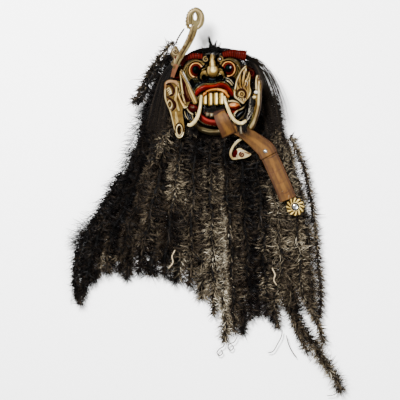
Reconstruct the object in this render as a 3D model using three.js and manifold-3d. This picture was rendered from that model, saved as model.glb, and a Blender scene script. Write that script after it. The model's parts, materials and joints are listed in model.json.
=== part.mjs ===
// A Balinese demon mask lying on its back, face up: carved hollow face, gilt ears and ornaments,
// leather tongue and a mane of furry hide locks. Millimetres, +X right, +Y to the crown, +Z up.
// The drawing centre is the middle of the face; the last lines move the origin under the middle.
import * as THREE from 'three';
import { mergeVertices } from 'three/addons/utils/BufferGeometryUtils.js';
import Module from 'manifold-3d';

// ---------- driving dimensions ----------
const GAP = 0.3; // between pieces that touch
const FACE = { x: 3, halfWidth: 92, halfHeight: 112, depth: 84, wall: 12, corner: 3, crown: 6 };
const FACE_SIDES = 24; // facets round the face and its collar
const COLLAR = { height: 54, thickness: 7 };
const MUZZLE = { x: 3, y: -32, z: 52, halfWidth: 58, halfHeight: 60, height: 42 };
const MOUTH_FLOOR = 78;
const EYES = [{ x: -44, y: 65 }, { x: 40, y: 70 }];
const EYE = { ball: 18, lid: 21.5, lidThickness: 3.6, rise: 76 };
const NOSE = { x: 0, y: 64, z: 84, halfWidth: 17, halfHeight: 20, height: 27 };
const TEETH = { x: [-17, -3, 10.5, 23.5], width: 12, top: 10, bottom: -29, z: 87 };
const EAR = { thickness: 8, z: 60 };
const MANE = { layer: 26.5, locks: 13, reach: 8 / 7, between: 0.8 };
const STRAP_THICKNESS = 3;
const HIDE_THICKNESS = 2.6;

// ---------- materials ----------
const finish = (colour, roughness, metalness = 0) =>
  new THREE.MeshStandardMaterial({ color: colour, roughness, metalness });
const MATERIAL = {
  paint: finish('#c9a95f', 0.45, 0.2),
  red: finish('#8e2b22', 0.5),
  gilt: finish('#d8c48c', 0.35, 0.6),
  bone: finish('#e3d7b0', 0.4),
  leather: finish('#b98a55', 0.6),
  maroon: finish('#4d1a1c', 0.6),
  mirror: finish('#dfe6ea', 0.05, 1),
  fur: finish('#4a4036', 0.9),
  darkFur: finish('#1b1816', 0.9),
};

// ---------- small tools ----------
const vec = (x, y, z = 0) => new THREE.Vector3(x, y, z);
const UP = vec(0, 0, 1);
const lerp = THREE.MathUtils.lerp;
const TURN = 2 * Math.PI;
const wasm = await Module();
wasm.setup();

/** Closed skin over rings of equal length that turn right-handed about the way they follow. */
function loft(rings) {
  const sides = rings[0].length;
  const points = rings.flat();
  const index = [];
  for (let r = 0; r + 1 < rings.length; r++) {
    for (let i = 0; i < sides; i++) {
      const a = r * sides + i;
      const b = r * sides + (i + 1) % sides;
      index.push(a, b, b + sides, a, b + sides, a + sides);
    }
  }
  const middle = (ring) => ring.reduce((sum, p) => sum.add(p), vec(0, 0)).divideScalar(sides);
  const last = (rings.length - 1) * sides;
  const first = points.push(middle(rings[0])) - 1;
  const end = points.push(middle(rings[rings.length - 1])) - 1;
  for (let i = 0; i < sides; i++) {
    const next = (i + 1) % sides;
    index.push(first, next, i, end, last + i, last + next);
  }
  const geometry = new THREE.BufferGeometry().setFromPoints(points);
  geometry.setIndex(index);
  return geometry;
}

/** Rounded bar along a path: width(t) and height(t) are half sizes, the flat side faces up. */
function sweep(path, { width, height = width, sides = 6, steps = 10, turn = 0 }) {
  const curve = new THREE.CatmullRomCurve3(path);
  const rings = [];
  for (let s = 0; s <= steps; s++) {
    const t = s / steps;
    const centre = curve.getPointAt(t);
    const along = curve.getTangentAt(t);
    const side = along.clone().cross(UP).normalize();
    const down = along.clone().cross(side);
    const [w, h] = [width, height].map((size) => (typeof size === 'number' ? size : size(t)));
    rings.push(Array.from({ length: sides }, (_, i) => {
      const angle = turn + TURN * i / sides;
      return centre.clone().addScaledVector(side, w * Math.cos(angle))
        .addScaledVector(down, h * Math.sin(angle));
    }));
  }
  return loft(rings);
}

/** Half size along a bar with rounded ends; slim is the size left at the very ends. */
const rounded = (size, slim = 0.45, end = 0.12) => (t) =>
  size * lerp(slim, 1, Math.min(1, Math.min(t, 1 - t) / end));
const tapered = (from, to, slim = 0.5, end = 0.08) => (t) =>
  lerp(from, to, t) * lerp(slim, 1, Math.min(1, (1 - t) / end));

/** Outline in the XY plane raised from z = 0, with a small bevel round its top and bottom. */
function plate(outline, thickness, { bevel = 0, segments = 4 } = {}) {
  const geometry = new THREE.ExtrudeGeometry(outline, {
    depth: thickness - 2 * bevel,
    steps: 1,
    curveSegments: segments,
    bevelEnabled: bevel > 0,
    bevelThickness: bevel,
    bevelSize: bevel,
    bevelOffset: -bevel,
    bevelSegments: 1,
  });
  return geometry.translate(0, 0, bevel);
}

const smoothOutline = (points, divisions) =>
  new THREE.Shape(new THREE.SplineCurve([...points, points[0]].map(([x, y]) => new THREE.Vector2(x, y)))
    .getPoints(divisions).slice(0, -1));

const ball = (x, y, z, rx, ry, rz, across = 14, down = 9) =>
  new THREE.SphereGeometry(1, across, down).rotateX(Math.PI / 2).scale(rx, ry, rz).translate(x, y, z);
const ring = (x, y, z, radius, tube, across = 18, sides = 5) =>
  new THREE.TorusGeometry(radius, tube, sides, across).translate(x, y, z);
const drill = (x, y, z, radius, depth, sides = 7) =>
  new THREE.CylinderGeometry(radius, radius * 0.6, depth, sides).rotateX(Math.PI / 2).translate(x, y, z);

function solid(geometry) {
  const bare = new THREE.BufferGeometry();
  bare.setAttribute('position', geometry.getAttribute('position').clone());
  if (geometry.index) bare.setIndex(geometry.index);
  const merged = mergeVertices(bare, 1e-4);
  const vertProperties = new Float32Array(merged.getAttribute('position').array);
  const triVerts = new Uint32Array(merged.index.array);
  return new wasm.Manifold(new wasm.Mesh({ numProp: 3, vertProperties, triVerts }));
}
const fuse = (...geometries) => geometries.map(solid).reduce((sum, next) => sum.add(next));
const carve = (body, ...tools) => tools.map(solid).reduce((left, tool) => left.subtract(tool), body);

function geometryOf(manifold) {
  const mesh = manifold.getMesh();
  const geometry = new THREE.BufferGeometry();
  geometry.setAttribute('position', new THREE.BufferAttribute(new Float32Array(mesh.vertProperties), 3));
  geometry.setIndex(new THREE.BufferAttribute(new Uint32Array(mesh.triVerts), 1));
  return geometry;
}

const mask = new THREE.Group();
function addPiece(name, shape, material) {
  const geometry = shape.isBufferGeometry ? shape : geometryOf(shape);
  const mesh = new THREE.Mesh(geometry, material);
  mesh.name = name;
  mask.add(mesh);
  return mesh;
}

// ---------- the carved face ----------
/** Height of the bare face over its back rim at a point, before any carving. */
function faceHeight(x, y) {
  const reach = (Math.abs((x - FACE.x) / FACE.halfWidth) ** FACE.corner
    + Math.abs(y / FACE.halfHeight) ** FACE.corner) ** (1 / FACE.corner);
  return FACE.depth * Math.sqrt(Math.max(0, 1 - reach ** FACE.crown));
}

/** Domed face blank, grown or shrunk all round by a number of millimetres. */
function faceBlank(grow, segments, levels) {
  const rings = [];
  for (let level = 0; level <= levels; level++) {
    const lift = Math.sin(Math.PI / 2 * level / levels) * 0.995;
    const scale = (1 - lift ** 2) ** (1 / FACE.crown);
    rings.push(Array.from({ length: segments }, (_, i) => {
      const [c, s] = [Math.cos(TURN * i / segments), Math.sin(TURN * i / segments)];
      const power = 2 / FACE.corner;
      const x = Math.sign(c) * Math.abs(c) ** power * (FACE.halfWidth + grow) * scale;
      const y = Math.sign(s) * Math.abs(s) ** power * (FACE.halfHeight + grow) * scale;
      return vec(FACE.x + x, y, lift * (FACE.depth + grow));
    }));
  }
  return loft(rings);
}

/** Path laid on the face: points [x, y], lifted over the bare face or held at a height of its own. */
const onFace = (points, lift) => points.map(([x, y]) => vec(x, y, faceHeight(x, y) + lift));
const atHeight = (points, heightAt) => points.map(([x, y]) => vec(x, y, heightAt(x, y)));
const muzzleHeight = (x, y) => {
  const r = ((x - MUZZLE.x) / MUZZLE.halfWidth) ** 2 + ((y - MUZZLE.y) / MUZZLE.halfHeight) ** 2;
  return Math.max(faceHeight(x, y), MUZZLE.z + MUZZLE.height * Math.sqrt(Math.max(0, 1 - r)));
};

function tooth(x, y, length, width, z, lean = 0) {
  const path = [vec(x, y, z), vec(x + lean / 2, y - length / 2, z + 2), vec(x + lean, y - length, z)];
  return sweep(path, { width: rounded(width / 2, 0.8, 0.3), height: rounded(8, 0.8, 0.3), steps: 2 });
}

function spiral(x, y, radius, hand, lift) {
  const points = [];
  for (let i = 0; i <= 6; i++) {
    const angle = Math.PI / 2 + hand * i * 0.85;
    const r = radius * (1 - i / 8);
    points.push([x + r * Math.cos(angle), y + r * Math.sin(angle)]);
  }
  return sweep(onFace(points, lift), { width: tapered(3.2, 2), sides: 3, steps: 4 });
}

const UPPER_LIP = [[-44, 0], [-33, 16], [-21, 23], [-10, 21], [0, 17], [10, 22], [23, 28], [38, 19], [54, 1]];
const LOWER_LIP = [[-34, -38], [-29, -55], [-18, -67], [-3, -75], [12, -78], [30, -72], [44, -52]];
const CHIN_ROLL = [[-44, -74], [-26, -91], [2, -100], [32, -95], [50, -78]];
const GUM = [[-26, -3], [-13, 8], [1, 12], [15, 13], [28, 9], [42, -9]];

function carvedFace() {
  const muzzle = ball(MUZZLE.x, MUZZLE.y, MUZZLE.z, MUZZLE.halfWidth, MUZZLE.halfHeight, MUZZLE.height,
    11, 6);
  let face = fuse(faceBlank(0, FACE_SIDES, 4), muzzle);
  const mouthRecess = plate(smoothOutline([[-30, 0], [-12, 10], [18, 13], [40, -4], [42, -50], [16, -72],
    [-16, -64], [-30, -40]], 12), 60);
  face = carve(face, mouthRecess.translate(0, 0, MOUTH_FLOOR));
  const eyes = EYES.flatMap(({ x, y }) => [
    ball(x, y, EYE.rise, EYE.ball, EYE.ball, EYE.ball + 3, 9, 5),
    ring(x, y, EYE.rise + 5, EYE.lid, EYE.lidThickness, 10, 3),
  ]);
  const nose = [
    ball(NOSE.x, NOSE.y, NOSE.z, NOSE.halfWidth, NOSE.halfHeight, NOSE.height, 9, 6),
    ...[-1, 1].map((side) => ball(side * 19, 50, 84, 11, 10, 15, 7, 5)),
  ];
  const teeth = TEETH.x.map((x, i) => tooth(x, TEETH.top, TEETH.top - TEETH.bottom, TEETH.width, TEETH.z,
    (i - 1.5) * 0.8));
  const lowerTeeth = [-13, -5, 3].map((x, i) => tooth(x, -64, -16, 8, 83, i - 1));
  const lips = [
    sweep(atHeight(UPPER_LIP, (x, y) => muzzleHeight(x, y) + 1),
      { width: rounded(7.5), height: rounded(8), sides: 5, steps: 9 }),
    sweep(atHeight(LOWER_LIP, (x, y) => muzzleHeight(x, y) - 1),
      { width: rounded(7.5), height: rounded(8), sides: 5, steps: 7 }),
    sweep(atHeight(GUM, (x, y) => muzzleHeight(x, y) - 3),
      { width: rounded(4.5), height: 9, sides: 4, steps: 5 }),
    sweep(onFace(CHIN_ROLL, 0), { width: rounded(7), height: rounded(9), sides: 4, steps: 5 }),
  ];
  const cheeks = [ball(-56, -38, 66, 16, 22, 20, 6, 3), ball(62, -30, 67, 17, 19, 20, 6, 3)];
  const scrolls = [
    spiral(-17, 98, 7, 1, 1),
    spiral(18, 96, 8, -1, 1),
    spiral(-58, -62, 8, -1, 0),
    spiral(74, -44, 10, 1, 0),
    sweep(onFace([[-38, 22], [-50, 30], [-62, 22], [-68, 4]], 0.5),
      { width: rounded(3.4), sides: 3, steps: 4 }),
    sweep(onFace([[46, 26], [57, 32], [64, 20], [70, 2]], 0.5),
      { width: rounded(3.4), sides: 3, steps: 4 }),
    sweep([vec(1, 84, 84), vec(1, 101, 76), vec(1, 116, 67)], { width: tapered(8, 4), height: 8, steps: 3 }),
  ];
  const whiskers = sweep(atHeight([[-20, 33], [0, 31], [20, 34]], (x, y) => muzzleHeight(x, y) + 2),
    { width: rounded(6), height: 7, sides: 4, steps: 4 });
  face = [...eyes, ...nose, ...teeth, ...lowerTeeth, ...lips, ...cheeks, ...scrolls, whiskers]
    .map(solid).reduce((sum, next) => sum.add(next), face);
  const pupils = EYES.map(({ x, y }) => drill(x, y, EYE.rise + EYE.ball + 3, 6, 6));
  const nostrils = [-1, 1].map((side) => drill(side * 21, 46, 97, 5, 16));
  const slot = plate(smoothOutline([[-24, -30], [4, -28], [34, -30], [36, -40], [30, -50], [4, -48],
    [-20, -50], [-26, -40]], 11), 100).translate(0, 0, 20);
  const hollow = faceBlank(-FACE.wall, 18, 3).translate(0, 0, -GAP);
  const below = new THREE.BoxGeometry(400, 400, 40).translate(0, 0, -20);
  return carve(face, ...pupils, ...nostrils, slot, hollow, below);
}
const face = carvedFace();
addPiece('carved_face', face, MATERIAL.paint);
const roundFace = faceBlank(GAP + 0.1, FACE_SIDES, 4);
const clearOfFace = (manifold) => manifold.subtract(solid(roundFace)).subtract(face);

// ---------- brow bands ----------
const BROW_LEFT = { spine: [[-82, 82], [-72, 97], [-50, 103], [-24, 101]], from: 8, to: 7 };
const BROW_RIGHT = { spine: [[27, 104], [48, 108], [70, 110], [88, 106]], from: 6, to: 11 };
function browBand({ spine, from, to }) {
  const thick = (t) => lerp(from, to, t);
  const band = sweep(atHeight(spine, () => 61), { width: thick, height: 6, steps: 5 });
  const ridges = [];
  const curve = new THREE.CatmullRomCurve3(atHeight(spine, () => 66));
  for (let i = 1; i <= 4; i++) {
    const [p, q] = [curve.getPointAt(i / 5), curve.getTangentAt(i / 5)];
    const across = vec(-q.y, q.x).multiplyScalar(thick(i / 5) - 2);
    ridges.push(sweep([p.clone().sub(across), p.clone().add(across)],
      { width: 4, height: 4, sides: 3, steps: 1 }));
  }
  return clearOfFace(fuse(band, ...ridges));
}
addPiece('brow_band_left', browBand(BROW_LEFT), MATERIAL.red);
addPiece('brow_band_right', browBand(BROW_RIGHT), MATERIAL.red);

// ---------- ears, side ornaments, temple flaps ----------
/** A flat drawing beside the face: its x grows outwards from the cheek, and tilt lifts its outer edge. */
const outwards = (points, side) => points.map(([x, y]) => [side * x, y]);
function besideFace(geometry, side, { x, y = 0, z, tilt }) {
  return geometry.rotateY(-side * tilt).translate(side * x + FACE.x, y, z);
}

const EAR_EDGE = [[9, 34], [27, 38], [44, 38], [55, 26], [56, 0], [51, -23], [41, -47], [33, -75],
  [26, -101], [14, -113], [3, -104], [0, -86], [3, -60], [0, -34]];
const EAR_HOLE = { x: 15, y: -94, across: 4, along: 9 };

function earCurl(side, x, y, radius, z) {
  const points = [];
  for (let i = 0; i <= 6; i++) {
    const angle = Math.PI * 0.9 - i * 0.85;
    const r = radius * (1 - i / 10);
    points.push(vec(side * (x - r * Math.cos(angle)), y + r * Math.sin(angle), z));
  }
  return sweep(points, { width: tapered(3.6, 2.4), sides: 3, steps: 4 });
}

function ear(side, { tilt, x, inner, drop = 1, foot }) {
  const hung = EAR_EDGE.map(([px, py]) => [px, py < 0 ? py * drop : py]);
  const edge = outwards([[inner, 30], ...hung, [inner, -25]], side);
  const blade = plate(smoothOutline(edge, 15), EAR.thickness - 2);
  const top = EAR.thickness - 2.2;
  const rim = sweep(edge.slice(2, 11).map(([px, py]) => vec(px * 0.93, py * 0.97, top)),
    { width: rounded(3.4), sides: 3, steps: 5 });
  const holeY = EAR_HOLE.y * drop;
  const hole = new THREE.Shape()
    .absellipse(side * EAR_HOLE.x, holeY, EAR_HOLE.across, EAR_HOLE.along, 0, TURN);
  const lobe = sweep([0, 1, 2, 3, 4, 5, 6].map((i) => {
    const angle = Math.PI / 2 + TURN * i / 6.6;
    return vec(side * EAR_HOLE.x + 7 * Math.cos(angle), holeY + 12 * Math.sin(angle), top);
  }), { width: 2.4, sides: 3, steps: 5 });
  let shape = fuse(blade, rim, lobe, earCurl(side, 38, 12, 15, top), earCurl(side, 36, -26, 12, top),
    earCurl(side, 18, -58 * drop, 9, top));
  shape = carve(shape, plate(hole, 30, { segments: 3 }).translate(0, 0, -10));
  const placed = besideFace(geometryOf(shape), side, { x, z: EAR.z, tilt });
  if (!foot) return clearOfFace(solid(placed));
  const base = new THREE.BoxGeometry(foot, 50, 6)
    .translate(FACE.x + side * (x - foot / 2 + 2), 4, EAR.z + 2.2);
  return clearOfFace(fuse(placed, base));
}

const LEFT_LEAF = [[85, -34], [90, -13], [86, 13], [91, 39], [90, 60], [84, 68], [76, 62], [60, 34], [45, 5],
  [35, -16], [36, -26], [52, -29], [68, -38]];
const RIGHT_LEAF = [[67, 68], [82, 72], [92, 60], [92, 26], [90, 0], [84, -18], [75, -25], [62, -16],
  [53, -3], [54, 13], [59, 39]];

/** Pierced gilt leaf lying on the cheek and falling outwards, its drawing in distances from the middle. */
function sideOrnament(side) {
  const left = side < 0;
  const flat = { x: 0, z: left ? 96 : 97, tilt: left ? -0.27 : -0.3 };
  const edge = outwards(left ? LEFT_LEAF : RIGHT_LEAF, side);
  const blade = plate(smoothOutline(edge, 14), 4);
  const raised = left
    ? [[[80, 64], [62, 33], [48, 5], [40, -22]], [[86, 58], [80, 30], [74, 0], [66, -30]],
      [[82, 10], [72, -8], [58, -24]], [[84, -10], [78, -24], [70, -33]]]
    : [[[66, 62], [60, 40], [56, 14], [57, 0]], [[74, 66], [72, 45], [69, 26]],
      [[82, 68], [80, 46], [77, 26]], [[89, 62], [88, 44], [86, 26]], [[60, -8], [72, -18], [84, -10]]];
  const ribs = raised.map((path) => sweep(outwards(path, side).map(([x, y]) => vec(x, y, 4)),
    { width: rounded(3.6), height: 3.2, sides: 3, steps: 2 }));
  const boss = left ? [] : [ring(side * 73, 4, 4, 8, 2.8, 9, 3), ball(side * 73, 4, 4, 5, 5, 3.5, 6, 4)];
  const slits = left
    ? [[78, 26, 2.2, 9], [84, 18, 2, 7], [70, 12, 2, 8]].map(([x, y, across, along]) =>
      plate(new THREE.Shape().absellipse(side * x, y, across, along, 0, TURN), 30, { segments: 2 })
        .translate(0, 0, -10))
    : [];
  const shape = carve(fuse(blade, ...ribs, ...boss), ...slits);
  return clearOfFace(solid(besideFace(geometryOf(shape), side, flat)));
}

const FLAP_EDGE = [[66, 40], [84, 39.5], [103, 40.5], [110, 50], [107, 66], [90, 74], [74, 74], [62, 68]];
function templeFlap(side) {
  const edge = outwards(FLAP_EDGE, side);
  const flap = plate(smoothOutline(edge, 11), 3);
  const curl = sweep(outwards([[104, 46], [107, 58], [99, 67], [92, 60], [96, 53]], side)
    .map(([x, y]) => vec(x, y, 3)), { width: tapered(2.8, 1.8), sides: 4, steps: 5 });
  return clearOfFace(fuse(flap, curl).translate([FACE.x, 0, COLLAR.height + 1]));
}

const leftEar = ear(-1, { tilt: 0.2, x: 75, inner: -8 });
const rightEar = ear(1, { tilt: 1.05, x: 96, inner: 0, drop: 0.82, foot: 30 });
addPiece('ear_left', leftEar, MATERIAL.gilt);
addPiece('ear_right', rightEar, MATERIAL.gilt);
addPiece('side_ornament_left', sideOrnament(-1), MATERIAL.gilt);
addPiece('side_ornament_right', sideOrnament(1), MATERIAL.gilt);
addPiece('temple_flap_left', templeFlap(-1), MATERIAL.maroon);
addPiece('temple_flap_right', templeFlap(1), MATERIAL.maroon);

// ---------- tusks ----------
const TUSK_LEFT = [[-31, -2, 92], [-33, -22, 101], [-36, -40, 105], [-41, -57, 104], [-53, -71, 99],
  [-69, -74, 94]];
const TUSK_RIGHT = [[37, -2, 93], [43, -22, 101], [50, -42, 104], [60, -60, 101], [74, -71, 96],
  [89, -65, 92]];
const tusk = (points) => clearOfFace(solid(sweep(points.map((p) => vec(...p)),
  { width: tapered(5.5, 5, 0.55, 0.1), sides: 6, steps: 7 })));
addPiece('tusk_left', tusk(TUSK_LEFT), MATERIAL.bone);
addPiece('tusk_right', tusk(TUSK_RIGHT), MATERIAL.bone);

// ---------- crest ----------
/** Flat band with square edges along a path, face up. */
function ribbon(points, width, thickness, steps) {
  const half = thickness / 2;
  const corners = [[1, 1], [-1, 1], [-1, -1], [1, -1]];
  const curve = new THREE.CatmullRomCurve3(points.map((p) => vec(...p)));
  const rings = [];
  for (let s = 0; s <= steps; s++) {
    const t = s / steps;
    const [centre, along] = [curve.getPointAt(t), curve.getTangentAt(t)];
    const side = along.clone().cross(UP).normalize();
    const down = along.clone().cross(side);
    const w = typeof width === 'number' ? width : width(t);
    rings.push(corners.map(([a, b]) => centre.clone().addScaledVector(side, a * w)
      .addScaledVector(down, b * half)));
  }
  return loft(rings);
}

const CREST = [[-103, 45, 63], [-98, 62, 72], [-89, 86, 84], [-79, 104, 87], [-67, 124, 88], [-54, 150, 88],
  [-45, 176, 88]];
const CREST_HEAD = { x: -44, y: 196, z: 88, halfWidth: 25, halfLength: 30, points: 20 };
function crestStrap() {
  const strap = ribbon(CREST, (t) => lerp(6, 10, t), HIDE_THICKNESS, 8);
  const edge = [];
  for (let i = 0; i < CREST_HEAD.points; i++) {
    const angle = TURN * i / CREST_HEAD.points;
    const serrated = angle > Math.PI / 2 && angle < 1.4 * Math.PI;
    const nick = serrated && i % 2 ? 0.88 : 1;
    edge.push(new THREE.Vector2(CREST_HEAD.x + CREST_HEAD.halfWidth * nick * Math.cos(angle),
      CREST_HEAD.y + CREST_HEAD.halfLength * nick * Math.sin(angle)));
  }
  const head = plate(new THREE.Shape(edge), HIDE_THICKNESS)
    .translate(0, 0, CREST_HEAD.z - HIDE_THICKNESS / 2);
  const slot = (x, y, across, along) => {
    const hole = new THREE.Shape().absellipse(x, y, across, along, 0, TURN, false, -0.3);
    return plate(hole, 20, { segments: 3 }).translate(0, 0, CREST_HEAD.z - 10);
  };
  const ribPath = [[-62, 184], [-60, 208], [-44, 219], [-28, 208], [-30, 186]];
  const rib = sweep(ribPath.map(([x, y]) => vec(x, y, CREST_HEAD.z + 1.6)),
    { width: 2.4, height: 1.8, sides: 3, steps: 5 });
  return carve(fuse(strap, head, rib), slot(-44, 203, 3.6, 10), slot(-56, 177, 4, 3));
}
addPiece('crest_strap', clearOfFace(crestStrap()), MATERIAL.gilt);

const CREST_LEAF = [[-82, 76], [-86, 92], [-84, 110], [-92, 126], [-103, 122], [-108, 106], [-102, 92],
  [-106, 78], [-95, 70]];
function crestLeaf() {
  const blade = plate(smoothOutline(CREST_LEAF, 13), 2.4);
  const scrollPath = [[-96, 76], [-97, 96], [-93, 112], [-98, 117], [-102, 110]];
  const scroll = sweep(scrollPath.map(([x, y]) => vec(x, y, 2.4)),
    { width: tapered(2.4, 1.4), height: 1.6, sides: 4, steps: 5 });
  return fuse(blade, scroll).translate([0, 0, 69.5]);
}
addPiece('crest_leaf', crestLeaf(), MATERIAL.gilt);
const CREST_CORD = [[-71, 172, 86], [-86, 150, 82], [-94, 134, 75], [-95, 127.6, 71.5]];
addPiece('crest_cord', sweep(CREST_CORD.map((p) => vec(...p)), { width: 0.9, sides: 6, steps: 3 }),
  MATERIAL.darkFur);

// ---------- tongue ----------
const MANE_TOP = 2 * MANE.layer + MANE.between;
const strapLift = MANE_TOP + GAP + STRAP_THICKNESS / 2;
const lapLift = strapLift + STRAP_THICKNESS + GAP;
const TONGUE_UPPER = [[19, -46, 84], [24, -58, 91], [34, -80, 93], [53, -100, 84], [80, -111, 72],
  [108, -122, strapLift + 6], [132, -138, lapLift], [146, -158, lapLift]];
const TONGUE_LOWER = [[126, -130, strapLift], [138, -146, strapLift], [154, -178, strapLift],
  [173, -221, strapLift], [205, -276, strapLift]];
const ROSETTE = { x: 216, y: -291, radius: 24, teeth: 12, thickness: 3, mirror: 8.5 };

function rosette() {
  const edge = [];
  for (let i = 0; i < 2 * ROSETTE.teeth; i++) {
    const r = i % 2 ? ROSETTE.radius * 0.84 : ROSETTE.radius;
    const angle = TURN * i / (2 * ROSETTE.teeth);
    edge.push(new THREE.Vector2(r * Math.cos(angle), r * Math.sin(angle)));
  }
  const disc = plate(new THREE.Shape(edge), ROSETTE.thickness);
  const seat = ring(0, 0, 3, ROSETTE.mirror + 2.2, 2, 9, 3);
  const bead = ring(0, 0, 3, ROSETTE.radius * 0.72, 1.8, 9, 3);
  return fuse(disc, seat, bead);
}

const tongueUpper = ribbon(TONGUE_UPPER, (t) => lerp(17, 19, t), STRAP_THICKNESS, 13);
const tongueLower = ribbon(TONGUE_LOWER, (t) => lerp(18, 17, t), STRAP_THICKNESS, 8);
addPiece('tongue_upper_strap', clearOfFace(solid(tongueUpper)), MATERIAL.leather);
addPiece('tongue_lower_strap', tongueLower, MATERIAL.leather);
const STUD = { x: 138, y: -146, top: 4, foot: 5.5, height: 3 };
const studMiddle = lapLift + STRAP_THICKNESS / 2 + 2 * GAP + STUD.height / 2;
addPiece('tongue_stud', new THREE.CylinderGeometry(STUD.top, STUD.foot, STUD.height, 12)
  .rotateX(Math.PI / 2).translate(STUD.x, STUD.y, studMiddle), MATERIAL.mirror);
const rosetteBase = strapLift + STRAP_THICKNESS / 2 + GAP;
addPiece('tongue_rosette', rosette().translate([ROSETTE.x, ROSETTE.y, rosetteBase]), MATERIAL.gilt);
const mirrorMiddle = rosetteBase + ROSETTE.thickness + GAP + 1;
addPiece('rosette_mirror', new THREE.CylinderGeometry(ROSETTE.mirror - 1, ROSETTE.mirror - 0.4, 2, 14)
  .rotateX(Math.PI / 2).translate(ROSETTE.x, ROSETTE.y, mirrorMiddle), MATERIAL.mirror);

const GILT_STEM = [[74, -128, 1], [58, -138, 1], [48, -152, 1], [50, -164, 1], [64, -163, 1]];
const GILT_BLADE = [[58, -166], [64, -148], [74, -141], [88, -147], [102, -153], [84, -163]];
const GILT_CURL = [[68, -158, 2], [78, -148, 2], [88, -153, 2], [82, -158, 2]];
function giltLeaf() {
  const stem = ribbon(GILT_STEM, (t) => lerp(4.5, 3.5, t), 2, 9);
  const blade = plate(smoothOutline(GILT_BLADE, 12), 2);
  const curl = sweep(GILT_CURL.map((p) => vec(...p)),
    { width: tapered(2, 1.2), height: 1.4, sides: 4, steps: 4 });
  return fuse(stem, blade, curl).translate([0, 0, MANE_TOP + GAP]);
}
addPiece('gilt_leaf', giltLeaf(), MATERIAL.gilt);

// ---------- tufts ----------
const BEARD_LEFT = [[-57, -104, 62], [-51, -108, 62], [-45, -110, 62], [-38, -106, 64]];
const BEARD_RIGHT = [[64, -102, 92], [71, -107, 90], [79, -105, 90], [87, -100, 88]];
const CROWN_SPIKES = [[-10, 151, 66], [-6, 139, 64], [4, 142, 66], [14, 130, 63]];
function tuft(root, spikes) {
  const knot = ball(...root, 6, 6, 5, 5, 3);
  const hairs = spikes.map((tip) => sweep([vec(...root), vec(...tip)],
    { width: tapered(3, 0.7), sides: 3, steps: 1 }));
  return clearOfFace(fuse(knot, ...hairs));
}
addPiece('beard_tuft_left', tuft([-47, -82, 68], BEARD_LEFT), MATERIAL.darkFur);
addPiece('beard_tuft_right', tuft([69, -84, 92], BEARD_RIGHT), MATERIAL.darkFur);
addPiece('crown_tuft', tuft([2, 116, 63], CROWN_SPIKES), MATERIAL.darkFur);

// ---------- hide collar and mane ----------
/** Point on the collar's outline, grown by some millimetres, at an angle in degrees. */
function rimPoint(degrees, grow) {
  const [c, s] = [Math.cos(degrees * Math.PI / 180), Math.sin(degrees * Math.PI / 180)];
  const power = 2 / FACE.corner;
  return vec(FACE.x + Math.sign(c) * Math.abs(c) ** power * (FACE.halfWidth + grow),
    Math.sign(s) * Math.abs(s) ** power * (FACE.halfHeight + grow));
}
const collarEdge = (grow) => Array.from({ length: FACE_SIDES }, (_, i) => {
  const { x, y } = rimPoint(i * 360 / FACE_SIDES, grow);
  return new THREE.Vector2(x, y);
});
function hideCollar() {
  const outline = new THREE.Shape(collarEdge(COLLAR.thickness));
  outline.holes.push(new THREE.Path(collarEdge(2 * GAP)));
  return plate(outline, COLLAR.height);
}
addPiece('hide_collar', hideCollar(), MATERIAL.darkFur);

// Guides of the fan, left edge to right edge: u is the place across it, root the angle on the collar,
// and each path's points are seventh parts of the way down, the last one past the usual tip.
const GUIDES = [
  { u: 0, root: 140, path: [[-152, 46], [-178, -40], [-194, -130], [-240, -222], [-306, -306],
    [-356, -405], [-366, -540], [-358, -640]] },
  { u: 0.27, root: 205, path: [[-124, -72], [-138, -115], [-150, -165], [-168, -235], [-190, -315],
    [-214, -400], [-236, -490], [-244, -570]] },
  { u: 0.55, root: 270, path: [[-1, -138], [0, -160], [2, -195], [5, -265], [10, -345], [16, -430],
    [20, -545], [24, -655]] },
  { u: 0.8, root: 325, path: [[116, -84], [128, -118], [133, -160], [140, -240], [147, -330], [153, -430],
    [158, -560], [164, -660]] },
  { u: 1, root: 400, path: [[156, 40], [182, -30], [204, -115], [236, -210], [262, -310], [276, -420],
    [284, -560], [290, -650]] },
];
const STATIONS = [0, 0.1, 0.22, 0.4, 0.6, 0.8, 1, 1.143];

/** Point of the fan: u across it, t down it, straight between stations so that neighbours fit. */
function fanPoint(u, t) {
  const right = Math.max(1, GUIDES.findIndex((guide) => guide.u >= u));
  const [a, b] = [GUIDES[right - 1], GUIDES[right]];
  const mix = (u - a.u) / (b.u - a.u);
  const start = rimPoint(lerp(a.root, b.root, mix), COLLAR.thickness - 4);
  const middle = a.path.map(([x, y], i) => vec(lerp(x, b.path[i][0], mix), lerp(y, b.path[i][1], mix)));
  return new THREE.CatmullRomCurve3([start, ...middle]).getPoint(t / MANE.reach);
}
function fanEdge(u, t) {
  const next = Math.max(1, STATIONS.findIndex((station) => station >= t));
  const [t0, t1] = [STATIONS[next - 1], STATIONS[next]];
  return fanPoint(u, t0).lerp(fanPoint(u, t1), (t - t0) / (t1 - t0));
}

const collarReach = plate(new THREE.Shape(collarEdge(COLLAR.thickness + GAP)), 3 * COLLAR.height)
  .translate(0, 0, -COLLAR.height);
const clearOfCollar = (geometry) => carve(solid(geometry), collarReach);

const SECTION = [[-1, 0.5], [-0.55, 0], [0.55, 0], [1, 0.5], [0.55, 1], [-0.55, 1]];
function lockRing(left, right, base, height, slim) {
  const centre = left.clone().add(right).multiplyScalar(0.5);
  const half = right.clone().sub(left).multiplyScalar(0.5);
  half.multiplyScalar(slim * (1 - MANE.between / half.length()));
  return SECTION.map(([across, up]) => centre.clone().addScaledVector(half, across)
    .setZ(base + up * height * slim));
}

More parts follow.
